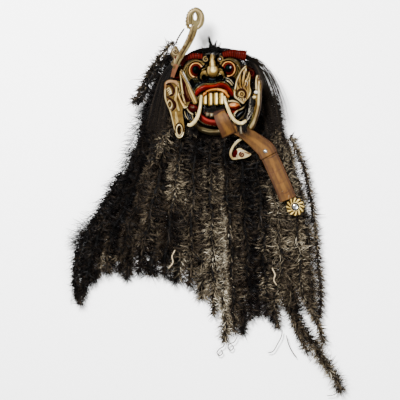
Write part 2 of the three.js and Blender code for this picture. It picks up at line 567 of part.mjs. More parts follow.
/** One lock of a layer between two edges of the fan, down to the tip, with further middles if it runs on. */
function lock(u0, u1, tip, layer, runOn = []) {
  const heightAt = (t) => MANE.layer * lerp(1, 0.72, Math.min(1, t));
  const rings = [];
  const push = (t, slim) => {
    const height = heightAt(t);
    rings.push(lockRing(fanEdge(u0, t), fanEdge(u1, t), layer * (height + MANE.between), height, slim));
  };
  const body = STATIONS.filter((t) => t < tip - 0.05);
  body.forEach((t) => push(t, 1));
  if (!runOn.length) {
    push(tip - 0.03, 0.86);
    push(tip, 0.4);
    return loft(rings);
  }
  push(tip, 1);
  const middles = runOn.map(([x, y]) => vec(x, y));
  middles.forEach((middle, i) => {
    const before = middles[i - 1] ?? fanEdge((u0 + u1) / 2, tip);
    const along = middle.clone().sub(before).normalize();
    const across = vec(along.y, -along.x).multiplyScalar(-lerp(17, 12, i / middles.length));
    const slim = i === middles.length - 1 ? 0.4 : 1;
    rings.push(lockRing(middle.clone().sub(across), middle.clone().add(across), 0, heightAt(1), slim));
  });
  return loft(rings);
}

const LOW_TIPS = [1, 0.96, 0.95, 0.98, 0.96, 0.96, 1, 1.13, 1.11, 1.03, 1.08, 1, 1.02];
const TOP_TIPS = [0.93, 0.88, 0.9, 0.84, 0.9, 0.86, 0.95, 1.06, 0.97, 0.98, 0.94, 0.97];
const LONG_LOCK = 11;
const RUN_ON = [[228, -592], [248, -630], [278, -668], [308, -716], [328, -752], [340, -772]];
const number = (i) => String(i + 1).padStart(2, '0');
LOW_TIPS.forEach((tip, i) => {
  const runOn = i === LONG_LOCK ? RUN_ON : [];
  const shape = lock(i / MANE.locks, (i + 1) / MANE.locks, tip, 0, runOn);
  addPiece(`lock_low_${number(i)}`, clearOfCollar(shape), MATERIAL.fur);
});
TOP_TIPS.forEach((tip, i) => {
  const shape = lock((i + 0.5) / MANE.locks, (i + 1.5) / MANE.locks, tip, 1);
  addPiece(`lock_top_${number(i)}`, clearOfCollar(shape), MATERIAL.fur);
});

const LOOSE = { halfHeight: 8.5, z: 62.5 };
const CROWN_LOCK = [[-74, 104, 44], [-98, 104, 51], [-124, 92, 61], [-148, 62, LOOSE.z], [-166, 24, LOOSE.z],
  [-181, -8, LOOSE.z], [-203, -26, LOOSE.z]];
const SHORT_LOCK = [[-110, -88], [-128, -114], [-146, -144], [-156, -186]].map(([x, y]) => [x, y, LOOSE.z]);
const looseLock = (points, halfWidth) => sweep(points.map((p) => vec(...p)),
  { width: rounded(halfWidth, 0.5, 0.25), height: rounded(LOOSE.halfHeight, 0.6, 0.2), steps: 8 });
addPiece('crown_lock_left', clearOfCollar(looseLock(CROWN_LOCK, 15)), MATERIAL.fur);
addPiece('short_lock_left', looseLock(SHORT_LOCK, 14), MATERIAL.fur);

// ---------- origin under the middle of the whole mask ----------
const bounds = new THREE.Box3().setFromObject(mask);
const middle = bounds.getCenter(vec(0, 0));
mask.position.set(-middle.x, -middle.y, -bounds.min.z);
mask.updateMatrixWorld(true);

export default mask;
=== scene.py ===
"""Looks of a Balinese demon mask lying on its back: painted face, gilt hide, leather tongue, furry mane."""

import json
import math

import bmesh
import bpy
import numpy as np
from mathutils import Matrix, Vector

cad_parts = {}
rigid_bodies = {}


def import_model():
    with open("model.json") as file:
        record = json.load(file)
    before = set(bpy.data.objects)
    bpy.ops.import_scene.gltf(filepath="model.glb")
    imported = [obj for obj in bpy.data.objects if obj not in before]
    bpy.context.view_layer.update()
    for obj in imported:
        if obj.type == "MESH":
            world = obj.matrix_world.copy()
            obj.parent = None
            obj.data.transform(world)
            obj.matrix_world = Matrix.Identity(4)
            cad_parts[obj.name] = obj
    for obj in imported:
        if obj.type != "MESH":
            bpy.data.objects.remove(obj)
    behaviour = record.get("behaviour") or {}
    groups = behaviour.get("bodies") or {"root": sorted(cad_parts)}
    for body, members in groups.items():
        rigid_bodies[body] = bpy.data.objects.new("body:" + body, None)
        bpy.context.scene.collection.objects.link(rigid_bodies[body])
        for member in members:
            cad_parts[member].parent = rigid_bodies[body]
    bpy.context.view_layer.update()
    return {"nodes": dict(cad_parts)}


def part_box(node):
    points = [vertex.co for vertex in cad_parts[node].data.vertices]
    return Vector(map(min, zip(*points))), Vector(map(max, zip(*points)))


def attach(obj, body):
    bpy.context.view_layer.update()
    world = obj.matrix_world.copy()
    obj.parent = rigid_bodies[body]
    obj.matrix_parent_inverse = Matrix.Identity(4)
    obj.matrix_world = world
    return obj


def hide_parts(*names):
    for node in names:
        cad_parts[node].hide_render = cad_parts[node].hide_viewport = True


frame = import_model()
nodes = frame["nodes"]

MM = 0.001
TURN = 2 * math.pi
RNG = np.random.default_rng(7)

# The drawing plane is in millimetres. Its zero is 3 mm left of the middle of the round collar.
_low, _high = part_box("hide_collar")
ZERO = np.array([(_low.x + _high.x) / 2 / MM - 3.0, (_low.y + _high.y) / 2 / MM, 0.0])


def to_frame(points):
    """Millimetres of the drawing to metres of the frame."""
    return (np.asarray(points, float) + ZERO) * MM


def to_drawing(points):
    return np.asarray(points, float) / MM - ZERO


# ---------- camera, floor and light ----------
def add_camera():
    """Straight above the mask. The view is across metres wide at the mask's middle height."""
    height, middle, across = 8.0, 0.05, 1.04
    data = bpy.data.cameras.new("camera")
    data.sensor_width = 36.0
    data.lens = data.sensor_width * (height - middle) / across
    camera = bpy.data.objects.new("camera", data)
    camera.location = (-0.024, 0.001, height)
    bpy.context.scene.collection.objects.link(camera)
    bpy.context.scene.camera = camera


def add_light(name, place, size, power, colour=(1, 1, 1)):
    data = bpy.data.lights.new(name, "AREA")
    data.size = size
    data.energy = power
    data.color = colour
    light = bpy.data.objects.new(name, data)
    light.location = place
    aim = (-light.location).to_track_quat("-Z", "Y")
    light.rotation_euler = aim.to_euler()
    bpy.context.scene.collection.objects.link(light)


# ---------- materials ----------
class Wire:
    """A value in a node tree. Sums, differences and products of wires add the Math nodes they need."""

    def __init__(self, sheet, socket):
        self.sheet, self.socket = sheet, socket

    def _math(self, operation, *values):
        return self.sheet.node("ShaderNodeMath", {"operation": operation}, dict(enumerate(values)))

    def __add__(self, other):
        return self._math("ADD", self, other)

    def __radd__(self, other):
        return self._math("ADD", other, self)

    def __sub__(self, other):
        return self._math("SUBTRACT", self, other)

    def __rsub__(self, other):
        return self._math("SUBTRACT", other, self)

    def __mul__(self, other):
        return self._math("MULTIPLY", self, other)

    def at_least(self, other):
        return self._math("MAXIMUM", self, other)

    def step(self, low, high):
        """0 below low, 1 above high, and a smooth rise between."""
        settings = {"interpolation_type": "SMOOTHSTEP"}
        return self.sheet.node("ShaderNodeMapRange", settings, {"Value": self, "From Min": low,
                                                                "From Max": high})


class Sheet:
    """The nodes of one material or one geometry tree."""

    def __init__(self, tree):
        self.tree = tree

    def node(self, kind, settings=None, values=None, output=0):
        made = self.tree.nodes.new(kind)
        for name, value in (settings or {}).items():
            if name == "stops":
                self._stops(made.color_ramp, value)
            else:
                setattr(made, name, value)
        for key, value in (values or {}).items():
            socket = made.inputs[key]
            if isinstance(value, Wire):
                self.tree.links.new(value.socket, socket)
            else:
                socket.default_value = value
        return Wire(self, made.outputs[output]) if len(made.outputs) else made

    @staticmethod
    def _stops(ramp, stops):
        while len(ramp.elements) < len(stops):
            ramp.elements.new(0.5)
        for element, (place, colour) in zip(ramp.elements, stops):
            element.position = place
            element.color = (*colour, 1)

    def noise(self, scale, detail=3, place=None):
        values = {"Scale": scale, "Detail": detail}
        values["Vector"] = place or self.node("ShaderNodeTexCoord", output="Object")
        return self.node("ShaderNodeTexNoise", None, values, "Fac")

    def mix(self, factor, first, second, blend="MIX"):
        settings = {"data_type": "RGBA", "blend_type": blend}
        values = {0: factor, 6: self.colour(first), 7: self.colour(second)}
        return self.node("ShaderNodeMix", settings, values, 2)

    @staticmethod
    def colour(value):
        return value if isinstance(value, Wire) or len(value) == 4 else (*value, 1)

    def ramp(self, value, stops):
        return self.node("ShaderNodeValToRGB", {"stops": stops}, {"Fac": value})

    def bump(self, height, strength, distance):
        return self.node("ShaderNodeBump", None, {"Height": height, "Strength": strength,
                                                  "Distance": distance})


def new_material(name, paint):
    """A material whose shader sockets come from paint(sheet), a dictionary of values and wires."""
    material = bpy.data.materials.new(name)
    material.use_nodes = True
    sheet = Sheet(material.node_tree)
    shader = material.node_tree.nodes["Principled BSDF"]
    for key, value in paint(sheet).items():
        if isinstance(value, Wire):
            material.node_tree.links.new(value.socket, shader.inputs[key])
        else:
            shader.inputs[key].default_value = value
    return material


FUR_UV = "OFBake"
FUR_TIPS = [
    (0.0, (0.0014, 0.0012, 0.0013)),
    (0.25, (0.006, 0.0042, 0.0030)),
    (0.5, (0.046, 0.034, 0.022)),
    (0.75, (0.21, 0.172, 0.112)),
    (1.0, (0.75, 0.68, 0.52)),
]


def fur_paint(sheet):
    """Hair coloured by its own map: u is how light the tip is, v runs from the root to the tip."""
    uv = sheet.node("ShaderNodeUVMap", {"uv_map": FUR_UV})
    split = sheet.node("ShaderNodeSeparateXYZ", None, {0: uv})
    along = Wire(sheet, split.socket.node.outputs[1])
    tip = sheet.ramp(split, FUR_TIPS)
    # The root end is painted much darker than the tip: partly the hair's own dark base, partly painted shade
    # deep in the mane.
    root = sheet.mix(1.0, tip, (0.10, 0.085, 0.07), "MULTIPLY")
    colour = sheet.mix(along.step(0.15, 0.85), root, tip)
    return {"Base Color": colour, "Roughness": 0.5, "Specular IOR Level": 0.06}


FUR = new_material("mane_fur", fur_paint)


# ---------- mesh tools ----------
def new_mesh(name, points, faces):
    mesh = bpy.data.meshes.new(name)
    mesh.from_pydata(np.asarray(points).tolist(), [], faces)
    mesh.update()
    return mesh


def new_piece(name, mesh, slot, *replaced):
    """A piece on the mask's body that takes the place of the named solids."""
    mesh.name = name
    piece = bpy.data.objects.new(name, mesh)
    bpy.context.scene.collection.objects.link(piece)
    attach(piece, "root")
    if replaced:
        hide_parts(*replaced)
    return piece


def smooth(points, count):
    """Points of a smooth curve through the given ones."""
    p = np.asarray(points, float)
    ends = np.vstack([2 * p[0] - p[1], p, 2 * p[-1] - p[-2]])
    t = np.linspace(0, len(p) - 1, count)
    i = np.minimum(t.astype(int), len(p) - 2)
    f = (t - i)[:, None]
    a, b, c, d = ends[i], ends[i + 1], ends[i + 2], ends[i + 3]
    return 0.5 * (2 * b + (c - a) * f + (2 * a - 5 * b + 4 * c - d) * f**2 + (3 * b - 3 * c + d - a) * f**3)


def wave_noise(x, y, scale, seed):
    """Soft hills between -1 and 1 over a plane, from a few waves."""
    rng = np.random.default_rng(seed)
    total = np.zeros_like(np.asarray(x, float))
    for _ in range(7):
        angle, phase = rng.uniform(0, TURN, 2)
        rate = rng.uniform(0.6, 1.6) / scale
        total += np.sin(TURN * rate * (x * math.cos(angle) + y * math.sin(angle)) + phase)
    return total / 7 * 1.6


# ---------- fur ----------
def barb_mesh():
    """One hair, a unit long up Z and bent towards +X, with its place along itself and across its map."""
    points, along, across = [], [], []
    for bend, up, size in ((0.0, 0.0, 1.0), (0.07, 0.5, 0.75)):
        for k in range(3):
            angle = TURN * k / 3
            points.append((bend + size * math.cos(angle), size * math.sin(angle), up))
            along.append(up)
            across.append(k - 1)
    points.append((0.28, 0.0, 0.98))
    along.append(1.0)
    across.append(0)
    faces = [(k, (k + 1) % 3, 3 + (k + 1) % 3, 3 + k) for k in range(3)]
    faces += [(3 + k, 3 + (k + 1) % 3, 6) for k in range(3)]
    faces.append((2, 1, 0))
    mesh = new_mesh("barb", points, faces)
    for name, values in (("hair_v", along), ("hair_side", across)):
        mesh.attributes.new(name, "FLOAT", "POINT").data.foreach_set("value", values)
    return mesh


class Tree(Sheet):
    """A Geometry Nodes tree with named inputs."""

    def __init__(self, name, inputs):
        super().__init__(bpy.data.node_groups.new(name, "GeometryNodeTree"))
        face = self.tree.interface
        face.new_socket("Geometry", in_out="INPUT", socket_type="NodeSocketGeometry")
        face.new_socket("Geometry", in_out="OUTPUT", socket_type="NodeSocketGeometry")
        self.ids = {}
        for title, (kind, value) in inputs.items():
            socket = face.new_socket(title, in_out="INPUT", socket_type=kind)
            if value is not None:
                socket.default_value = value
            self.ids[title] = socket.identifier
        self.entry = self.tree.nodes.new("NodeGroupInput")

    def given(self, title):
        return Wire(self, self.entry.outputs[title])

    def attribute(self, name):
        return self.node("GeometryNodeInputNamedAttribute", {"data_type": "FLOAT"}, {"Name": name})

    def random(self, low, high, seed, key=None):
        values = {2: low, 3: high, 8: seed}
        if key is not None:
            values[7] = key
        return self.node("FunctionNodeRandomValue", {"data_type": "FLOAT"}, values, 1)

    def vector(self, operation, *values):
        output = 1 if operation == "LENGTH" else 0
        return self.node("ShaderNodeVectorMath", {"operation": operation}, dict(enumerate(values)), output)

    def one(self, operation, *values):
        return self.node("ShaderNodeMath", {"operation": operation}, dict(enumerate(values)))

    def scaled(self, vector, size):
        return self.node("ShaderNodeVectorMath", {"operation": "SCALE"}, {0: vector, 3: size})

    def xyz(self, x, y, z):
        return self.node("ShaderNodeCombineXYZ", None, {0: x, 1: y, 2: z})

    def store(self, geometry, name, value, kind="FLOAT", domain="POINT"):
        settings = {"data_type": kind, "domain": domain}
        return self.node("GeometryNodeStoreNamedAttribute", settings,
                         {"Geometry": geometry, "Name": name, "Value": value})

    def finish(self, geometry):
        leave = self.tree.nodes.new("NodeGroupOutput")
        self.tree.links.new(geometry.socket, leave.inputs[0])


# Metres over the floor under which hair is pressed flat, and the core of a lock: its share of the half
# width and the length of its steps.
FLOOR_GAP = 0.0006
CORE_SHARE = 0.28
CORE_STEP = 0.014


def fur_tree():
    """Tufts of bristles all round a spine, leaning to its tip, over a thin dark core.

    The spine is a line of edges whose points carry half (half width), rise (half height) and tone."""
    tree = Tree("furry_lock", {
        "Barb": ("NodeSocketObject", None),
        "Material": ("NodeSocketMaterial", None),
        "Spacing": ("NodeSocketFloat", 0.0002),
        "Length": ("NodeSocketFloat", 1.0),
        "Shortest": ("NodeSocketFloat", 0.014),
        "Thickness": ("NodeSocketFloat", 0.0008),
        "Tuft": ("NodeSocketFloat", 0.011),
        "Gather": ("NodeSocketFloat", 0.75),
        "Lean": ("NodeSocketFloat", 0.75),
        "Spread": ("NodeSocketFloat", 2.0),
        "Side": ("NodeSocketFloat", 0.0),
        "Contrast": ("NodeSocketFloat", 0.26),
        "Seed": ("NodeSocketInt", 1),
    })
    seed = tree.given("Seed")
    curve = tree.node("GeometryNodeMeshToCurve", None, {0: tree.given("Geometry")})
    values = {"Curve": curve, "Length": tree.given("Spacing")}
    roots = tree.node("GeometryNodeResampleCurve", {"mode": "LENGTH"}, values)
    tangent = tree.node("GeometryNodeInputTangent")
    side = tree.vector("NORMALIZE", tree.vector("CROSS_PRODUCT", tangent, (0, 0, 1)))
    up = tree.vector("CROSS_PRODUCT", side, tangent)
    half, rise = tree.attribute("half"), tree.attribute("rise")

    # Bristles share a tuft with their neighbours: key numbers the tuft and ahead is the way to its middle.
    turn = tree.random(tree.given("Spread") * -1, tree.given("Spread"), seed) + tree.given("Side")
    row = tree.one("ROUND", turn * 1.7)
    cell = tree.one("DIVIDE", tree.node("GeometryNodeSplineParameter", output="Length"), tree.given("Tuft"))
    cell = cell + row * 0.37 + 20
    number = tree.one("FLOOR", cell)
    key = number * 31 + row * 7 + 500
    ahead = (number + 0.5 - cell) * tree.given("Tuft") * tree.given("Gather")
    drift = tree.random(-0.25, 0.25, seed + 10, key)
    tip_turn = row * 0.59 * tree.given("Gather") + turn * (1 - tree.given("Gather")) + drift

    def outward(angle):
        sin, cos = tree.one("SINE", angle), tree.one("COSINE", angle)
        return sin, cos, tree.vector("ADD", tree.scaled(side, sin), tree.scaled(up, cos))

    sin, cos, _ = outward(turn)
    _, _, away = outward(tip_turn)
    lean = tree.given("Lean") + tree.random(-0.22, 0.22, seed + 8, key) + tree.random(-0.12, 0.12, seed + 1)
    reach = half.at_least(tree.given("Shortest")) * tree.given("Length") * tree.random(0.7, 1.2, seed + 9,
                                                                                       key)
    reach = reach * tree.random(0.6, 1.1, seed + 3) * (tree.random(0.0, 1.0, seed + 4).step(0.94,
                                                                                            1.0) * 0.8 + 1.0)
    aim = tree.vector("ADD", tree.scaled(tangent, tree.one("SINE", lean) * reach + ahead),
                      tree.scaled(away, tree.one("COSINE", lean) * reach))
    rotation = tree.node("FunctionNodeAlignRotationToVector", {"axis": "Z"}, {"Vector": aim})
    settings = {"axis": "X", "pivot_axis": "Z"}
    rotation = tree.node("FunctionNodeAlignRotationToVector", settings, {"Rotation": rotation,
                                                                         "Vector": tangent})

    depth = tree.random(0.05, 0.40, seed + 2)
    offset = tree.vector("ADD", tree.scaled(side, sin * half * depth), tree.scaled(up, cos * rise * depth))
    roots = tree.node("GeometryNodeSetPosition", None, {"Geometry": roots, "Offset": offset})
    thick = tree.given("Thickness") * tree.random(0.6, 1.3, seed + 5)
    values = {
        "Points": roots,
        "Instance": tree.node("GeometryNodeObjectInfo", None, {"Object": tree.given("Barb")}, "Geometry"),
        "Rotation": rotation,
        "Scale": tree.xyz(thick, thick, tree.vector("LENGTH", aim)),
    }
    hairs = tree.node("GeometryNodeInstanceOnPoints", None, values)
    contrast = tree.given("Contrast")
    tone = tree.attribute("tone") + tree.random(contrast * -1, contrast, seed + 7, key)
    # Bristles turned away from the lock's top (or from Side) are made darker, as painted shade on the lock's
    # sides.
    facing = tree.one("ABSOLUTE", turn - tree.given("Side"))
    tone = tone + tree.random(-0.12, 0.12, seed + 6) + 0.10 - facing * facing * 0.07
    hairs = tree.store(hairs, "hair_u", tone, domain="INSTANCE")
    hairs = tree.node("GeometryNodeRealizeInstances", None, {0: hairs})

    body = tree.node("GeometryNodeResampleCurve", {"mode": "LENGTH"}, {"Curve": curve, "Length": CORE_STEP})
    ring = tree.node("GeometryNodeCurvePrimitiveCircle", None, {"Resolution": 6, "Radius": 1.0})
    values = {"Curve": body, "Profile Curve": ring, "Fill Caps": True, "Scale": half * CORE_SHARE}
    body = tree.node("GeometryNodeCurveToMesh", None, values)
    body = tree.store(body, "hair_u", tree.attribute("tone") * 0.4)
    both = tree.tree.nodes.new("GeometryNodeJoinGeometry")
    for part in (hairs, body):
        tree.tree.links.new(part.socket, both.inputs[0])
    both = Wire(tree, both.outputs[0])
    place = tree.node("ShaderNodeSeparateXYZ", None, {0: tree.node("GeometryNodeInputPosition")})
    x, y, z = (Wire(tree, output) for output in place.socket.node.outputs)
    rested = z.at_least(FLOOR_GAP) + tree.one("MINIMUM", z, FLOOR_GAP) * 0.02
    values = {"Geometry": both, "Position": tree.xyz(x, y, rested)}
    both = tree.node("GeometryNodeSetPosition", None, values)
    u = (tree.attribute("hair_u") + tree.attribute("hair_side") * 0.004).at_least(0.01)
    uv = tree.xyz(tree.one("MINIMUM", u, 0.99), tree.attribute("hair_v") * 0.98 + 0.01, 0.0)
    both = tree.store(both, FUR_UV, uv, "FLOAT2", "CORNER")
    tree.finish(tree.node("GeometryNodeSetMaterial", None, {"Geometry": both,
                                                            "Material": tree.given("Material")}))
    return tree


BARB = bpy.data.objects.new("barb", barb_mesh())
FUR_TREE = fur_tree()


def furry(name, spines, slot, *replaced, **inputs):
    """A furry piece over one or more spines, each a table of x, y, z, half, rise and tone, in millimetres."""
    points = np.vstack([spine[:, :3] for spine in spines])
    edges, start = [], 0
    for spine in spines:
        edges += [(start + k, start + k + 1) for k in range(len(spine) - 1)]
        start += len(spine)
    mesh = bpy.data.meshes.new(name)
    mesh.from_pydata(to_frame(points).tolist(), edges, [])
    table = np.vstack([spine[:, 3:] for spine in spines])
    for column, (title, unit) in enumerate((("half", MM), ("rise", MM), ("tone", 1.0))):
        values = np.ascontiguousarray(table[:, column] * unit, np.float32)
        mesh.attributes.new(title, "FLOAT", "POINT").data.foreach_set("value", values)
    holder = bpy.data.objects.new(name + "_spine", mesh)
    bpy.context.scene.collection.objects.link(holder)
    modifier = holder.modifiers.new("fur", "NODES")
    modifier.node_group = FUR_TREE.tree
    for title, value in {"Barb": BARB, "Material": FUR, **inputs}.items():
        modifier[FUR_TREE.ids[title]] = value
    bpy.context.view_layer.update()
    depsgraph = bpy.context.evaluated_depsgraph_get()
    made = bpy.data.meshes.new_from_object(holder.evaluated_get(depsgraph))
    bpy.data.objects.remove(holder)
    return new_piece(name, made, slot, *replaced)


LOCK_STEP = 9.0


def spine_of(node, step=LOCK_STEP):
    """Middle line of a lock's solid from its root to its tip: x, y, z, half width and half height."""
    data = nodes[node].data
    points = to_drawing([v.co for v in data.vertices])
    middle = points.mean(0)
    axis = np.linalg.svd((points - middle) * [1, 1, 0], full_matrices=False)[2][0]
    if axis[:2] @ middle[:2] < 0:
        axis = -axis
    s = (points - middle) @ axis
    edges = np.array([tuple(e.vertices) for e in data.edges])
    first, second = points[edges[:, 0]], points[edges[:, 1]]
    s0, s1 = s[edges[:, 0]], s[edges[:, 1]]
    across = np.array([-axis[1], axis[0], 0])
    rows = []
    for cut in np.arange(s.min() + 2, s.max() - 1, step):
        hit = (s0 - cut) * (s1 - cut) < 0
        f = ((cut - s0) / np.where(s1 == s0, 1, s1 - s0))[hit, None]
        p = first[hit] * (1 - f) + second[hit] * f
        w = p @ across
        low, high = w.min(), w.max()
        centre = middle + axis * cut + across * ((low + high) / 2 - middle @ across)
        z = (p[:, 2].min() + p[:, 2].max()) / 2
        rows.append((*centre[:2], z, (high - low) / 2, (p[:, 2].max() - p[:, 2].min()) / 2))
    rows = np.array(rows)
    slope = np.gradient(rows[:, :2], axis=0)
    turned = np.abs(slope @ axis[:2]) / np.linalg.norm(slope, axis=1)
    rows[:, 3] *= turned
    return rows


PATCHES = [
    # x, y, reach across, reach along, how much lighter
    (-150, 10, 50, 130, -0.5),
    (150, -10, 45, 75, -0.5),
    (-240, -250, 50, 130, -0.3),
    (-330, -420, 50, 90, -0.3),
    (-15, -140, 90, 45, -0.32),
    (100, -190, 42, 110, -0.30),
    (-20, -225, 80, 40, 0.04),
    (-282, -440, 18, 80, 0.30),
    (-120, -110, 22, 45, 0.35),
    (-105, -165, 30, 40, 0.12),
    (-92, -255, 14, 60, 0.30),
    (-45, -245, 26, 75, 0.08),
    (-112, -380, 20, 130, -0.30),
    (-75, -430, 18, 85, 0.40),
    (-45, -500, 20, 50, 0.28),
    (22, -420, 16, 115, 0.95),
    (30, -570, 16, 60, 0.25),
    (70, -430, 18, 110, 0.12),
    (115, -370, 22, 150, -0.40),
    (160, -340, 22, 130, 0.16),
    (200, -360, 22, 150, 0.10),
    (235, -330, 26, 170, 0.10),
    (250, -480, 40, 100, 0.06),
    (215, -160, 30, 90, 0.12),
    (300, -690, 60, 90, 0.30),
    (-290, -440, 16, 70, 0.30),
    (-200, -400, 14, 80, 0.18),
    (-150, -330, 14, 70, 0.16),
]


def mane_tone(x, y):
    """How light the mane is at a place: black at the left, grey and cream to the right, in patches."""
    tone = 0.29 + np.where(x < 0, 0.0004, 0.0002) * x + 0.13 * wave_noise(x, y, 60, 3) + 0.08 * wave_noise(x,
                                                                                                           y,
                                                                                                           25,
                                                                                                           4)
    for cx, cy, rx, ry, more in PATCHES:
        tone = tone + more * np.exp(-(((x - cx) / rx) ** 2) - ((y - cy) / ry) ** 2)
    return np.clip(tone, 0.03, 0.95)


LOCK_FUR = {"Spacing": 0.000295, "Length": 1.3, "Thickness": 0.0010, "Spread": 1.9, "Contrast": 0.34}


def mane_lock(node, seed, **inputs):
    """The fur of one lock over its solid's middle line, with a slight sway that grows down the lock."""
    rows = spine_of(node)
    s = np.arange(len(rows)) * LOCK_STEP
    sway = 3.5 * np.sin(TURN * s / (95 + 7 * (seed % 5)) + seed) * np.clip(s / 120, 0, 1)
    rows[:, 0] += sway
    spine = np.column_stack([rows, mane_tone(rows[:, 0], rows[:, 1])])
    furry("fur_" + node, [spine], "mane_fur", node, **{**LOCK_FUR, "Seed": seed * 11, **inputs})
    return spine


def between(first, second, share, lower, dark):
    """A spine between two others, low down, its tone lowered by dark as painted shade, that shows only where
    they part.
    """
    count = min(len(first), len(second))
    at = np.linspace(0, 1, count)[:, None]
    rows = [np.column_stack([np.interp(at[:, 0] * share, np.linspace(0, 1, len(spine)), column)
                             for column in spine.T]) for spine in (first, second)]
    middle = (rows[0] + rows[1]) / 2
    middle[:, 2] = lower
    middle[:, 3] = np.maximum(middle[:, 3], 17) * np.clip(at[::-1, 0] * 8, 0.3, 1)
    # Lowering the tone by dark is painted shade in the gaps between the locks.
    middle[:, 5] = np.clip(middle[:, 5] - dark, 0.02, 1)
    return middle


def drawn_spine(points, half, rise, tone, step=LOCK_STEP):
    """A spine through given places; half, rise and tone may change along it."""
    points = np.asarray(points, float)
    length = np.linalg.norm(np.diff(points, axis=0), axis=1).sum()
    line = smooth(points, max(int(length / step), 4))
    share = np.linspace(0, 1, len(line))
    columns = []
    for values in map(np.atleast_1d, (half, rise, tone)):
        columns.append(np.interp(share, np.linspace(0, 1, len(values)), values))
    return np.column_stack([line, *columns])


# Each is the places of a spine, its half width, its half height and its tone.
LEFT_EDGE = (
    ([(-236, -205, 26), (-274, -272, 22), (-312, -335, 20), (-340, -385, 20), (-354, -440, 18),
      (-354, -500, 14), (-344, -545, 10)], (8, 12, 13, 14, 14, 12, 8), 8, (0.03, 0.05, 0.06, 0.10, 0.22)),
    ([(-280, -340, 14), (-312, -410, 14), (-326, -470, 12), (-338, -530, 10)], (16, 18, 14, 8), 8, 0.10),
    ([(-150, 78, 50), (-140, 30, 44), (-160, -30, 40), (-176, -90, 36), (-200, -160, 30)], (14, 18, 18, 16),
     10, 0.02),
    ([(-110, 96, 50), (-125, 50, 46), (-130, -10, 44), (-135, -70, 40)], (14, 20, 20, 18), 10, 0.02),
    ([(-98, 138, 60), (-125, 112, 58), (-155, 72, 56), (-178, 25, 50), (-205, -22, 46)], (6, 8, 9, 9, 7), 8,
     0.42),
)
RIGHT_EDGE = (
    ([(203, -104, 22), (237, -182, 20), (258, -273, 18), (274, -403, 14), (284, -533, 10), (280, -582, 8)],
     (6, 7, 8, 8, 7, 5), 8, (0.40, 0.35, 0.32, 0.30, 0.2)),
)
RIGHT_HEAD = (
    ([(70, 98, 44), (100, 78, 44), (120, 46, 42), (132, 6, 42), (144, -54, 40)], (8, 10, 11, 13), 9, 0.02),
    ([(92, 84, 42), (110, 56, 42), (118, 20, 42), (126, -40, 42), (136, -90, 38)], (8, 14, 16, 16), 9, 0.02),
)
BARE_HIDE = (0.62, 0.52, 0.36)
DARK_HIDE = (0.085, 0.06, 0.035)
HIDE_STRIPS = (
    (1.4, BARE_HIDE, [(-96, -403, 52), (-104, -420, 50), (-102, -436, 48), (-114, -452, 44)]),
    (1.4, BARE_HIDE, [(156, -450, 40), (164, -468, 40), (161, -482, 38), (169, -496, 34)]),
    (1.3, DARK_HIDE, [(30, -640, 12), (31, -654, 11), (20, -662, 10), (13, -672, 9), (20, -680, 9),
                      (28, -672, 10), (22, -664, 12)]),
    (1.3, DARK_HIDE, [(66, -630, 12), (58, -644, 11), (45, -650, 10), (42, -660, 9), (50, -666, 9),
                      (56, -658, 10), (50, -650, 12)]),
    (1.3, DARK_HIDE, [(184, -612, 12), (181, -630, 11), (172, -648, 10), (160, -668, 9), (146, -673, 8)]),
    (1.3, DARK_HIDE, [(194, -626, 12), (200, -650, 11), (210, -670, 10), (222, -686, 8)]),
    (1.0, DARK_HIDE, [(334, -762, 14), (330, -774, 12), (316, -783, 10), (300, -785, 8)]),
)
LONG_LOCKS = {"lock_low_12": {"Length": 1.7, "Shortest": 0.019}}


def drawn_fur(name, table, **inputs):
    """A furry piece over the spines that a table's rows give."""
    furry(name, [drawn_spine(*row) for row in table], "mane_fur", **inputs)


def make_mane():
    """The locks of both layers, fur darkened as painted shade in the gaps between them, both edges and a few
    bare strips.
    """
    names = sorted(n for n in nodes if n.startswith("lock_"))
    spines = {node: mane_lock(node, k + 1, **LONG_LOCKS.get(node, {})) for k, node in enumerate(names)}
    low = [spines[n] for n in names if n.startswith("lock_low")]
    under = [between(a, b, 0.97, 12, 0.12) for a, b in zip(low[:-1], low[1:])]
    furry("under_fur", under, "mane_fur", Seed=901, Spacing=0.00056, Length=1.5, Thickness=0.0016, Spread=1.5)
    mane_lock("short_lock_left", 41, Length=1.5)
    mane_lock("crown_lock_left", 42, Length=1.7, Lean=0.9)
    drawn_fur("fur_right_edge", RIGHT_EDGE, Seed=971, Spacing=0.00045, Length=1.35, Shortest=0.016,
              Thickness=0.0013, Spread=1.7, Gather=1.0, Tuft=0.010, Lean=0.6, Contrast=0.3)
    strips = [cord(path, half, colour) for half, colour, path in HIDE_STRIPS]
    new_piece("bare_hide_strips", join("bare_hide_strips", *strips), "mane_fur")
    drawn_fur("fur_left_edge", LEFT_EDGE, Seed=951, Spacing=0.00039, Length=1.5, Thickness=0.0012, Spread=1.8)


FRINGE = (
    # the line that the hairs stand on, their direction in degrees, how far it varies, length, count
    ([(-182, -45, 26), (-205, -125, 24), (-226, -185, 24), (-262, -250, 22), (-296, -305, 20)], 200, 24, 24,
     300),
    ([(-296, -305, 18), (-330, -352, 16), (-346, -392, 14)], 190, 26, 34, 110),
    ([(-352, -400, 14), (-356, -470, 12), (-350, -530, 10)], 230, 26, 20, 70),
    ([(-322, -478, 14), (-290, -452, 14), (-240, -438, 14), (-200, -436, 14)], 275, 24, 26, 150),
    ([(-190, -438, 14), (-120, -458, 14), (-70, -482, 14)], 280, 24, 22, 90),
    ([(40, -590, 12), (60, -580, 12), (110, -560, 12), (150, -560, 12)], 275, 24, 22, 80),
)


FRINGE_END, FRINGE_FOOT = -386, 3  # furthest left and lowest place of its hairs


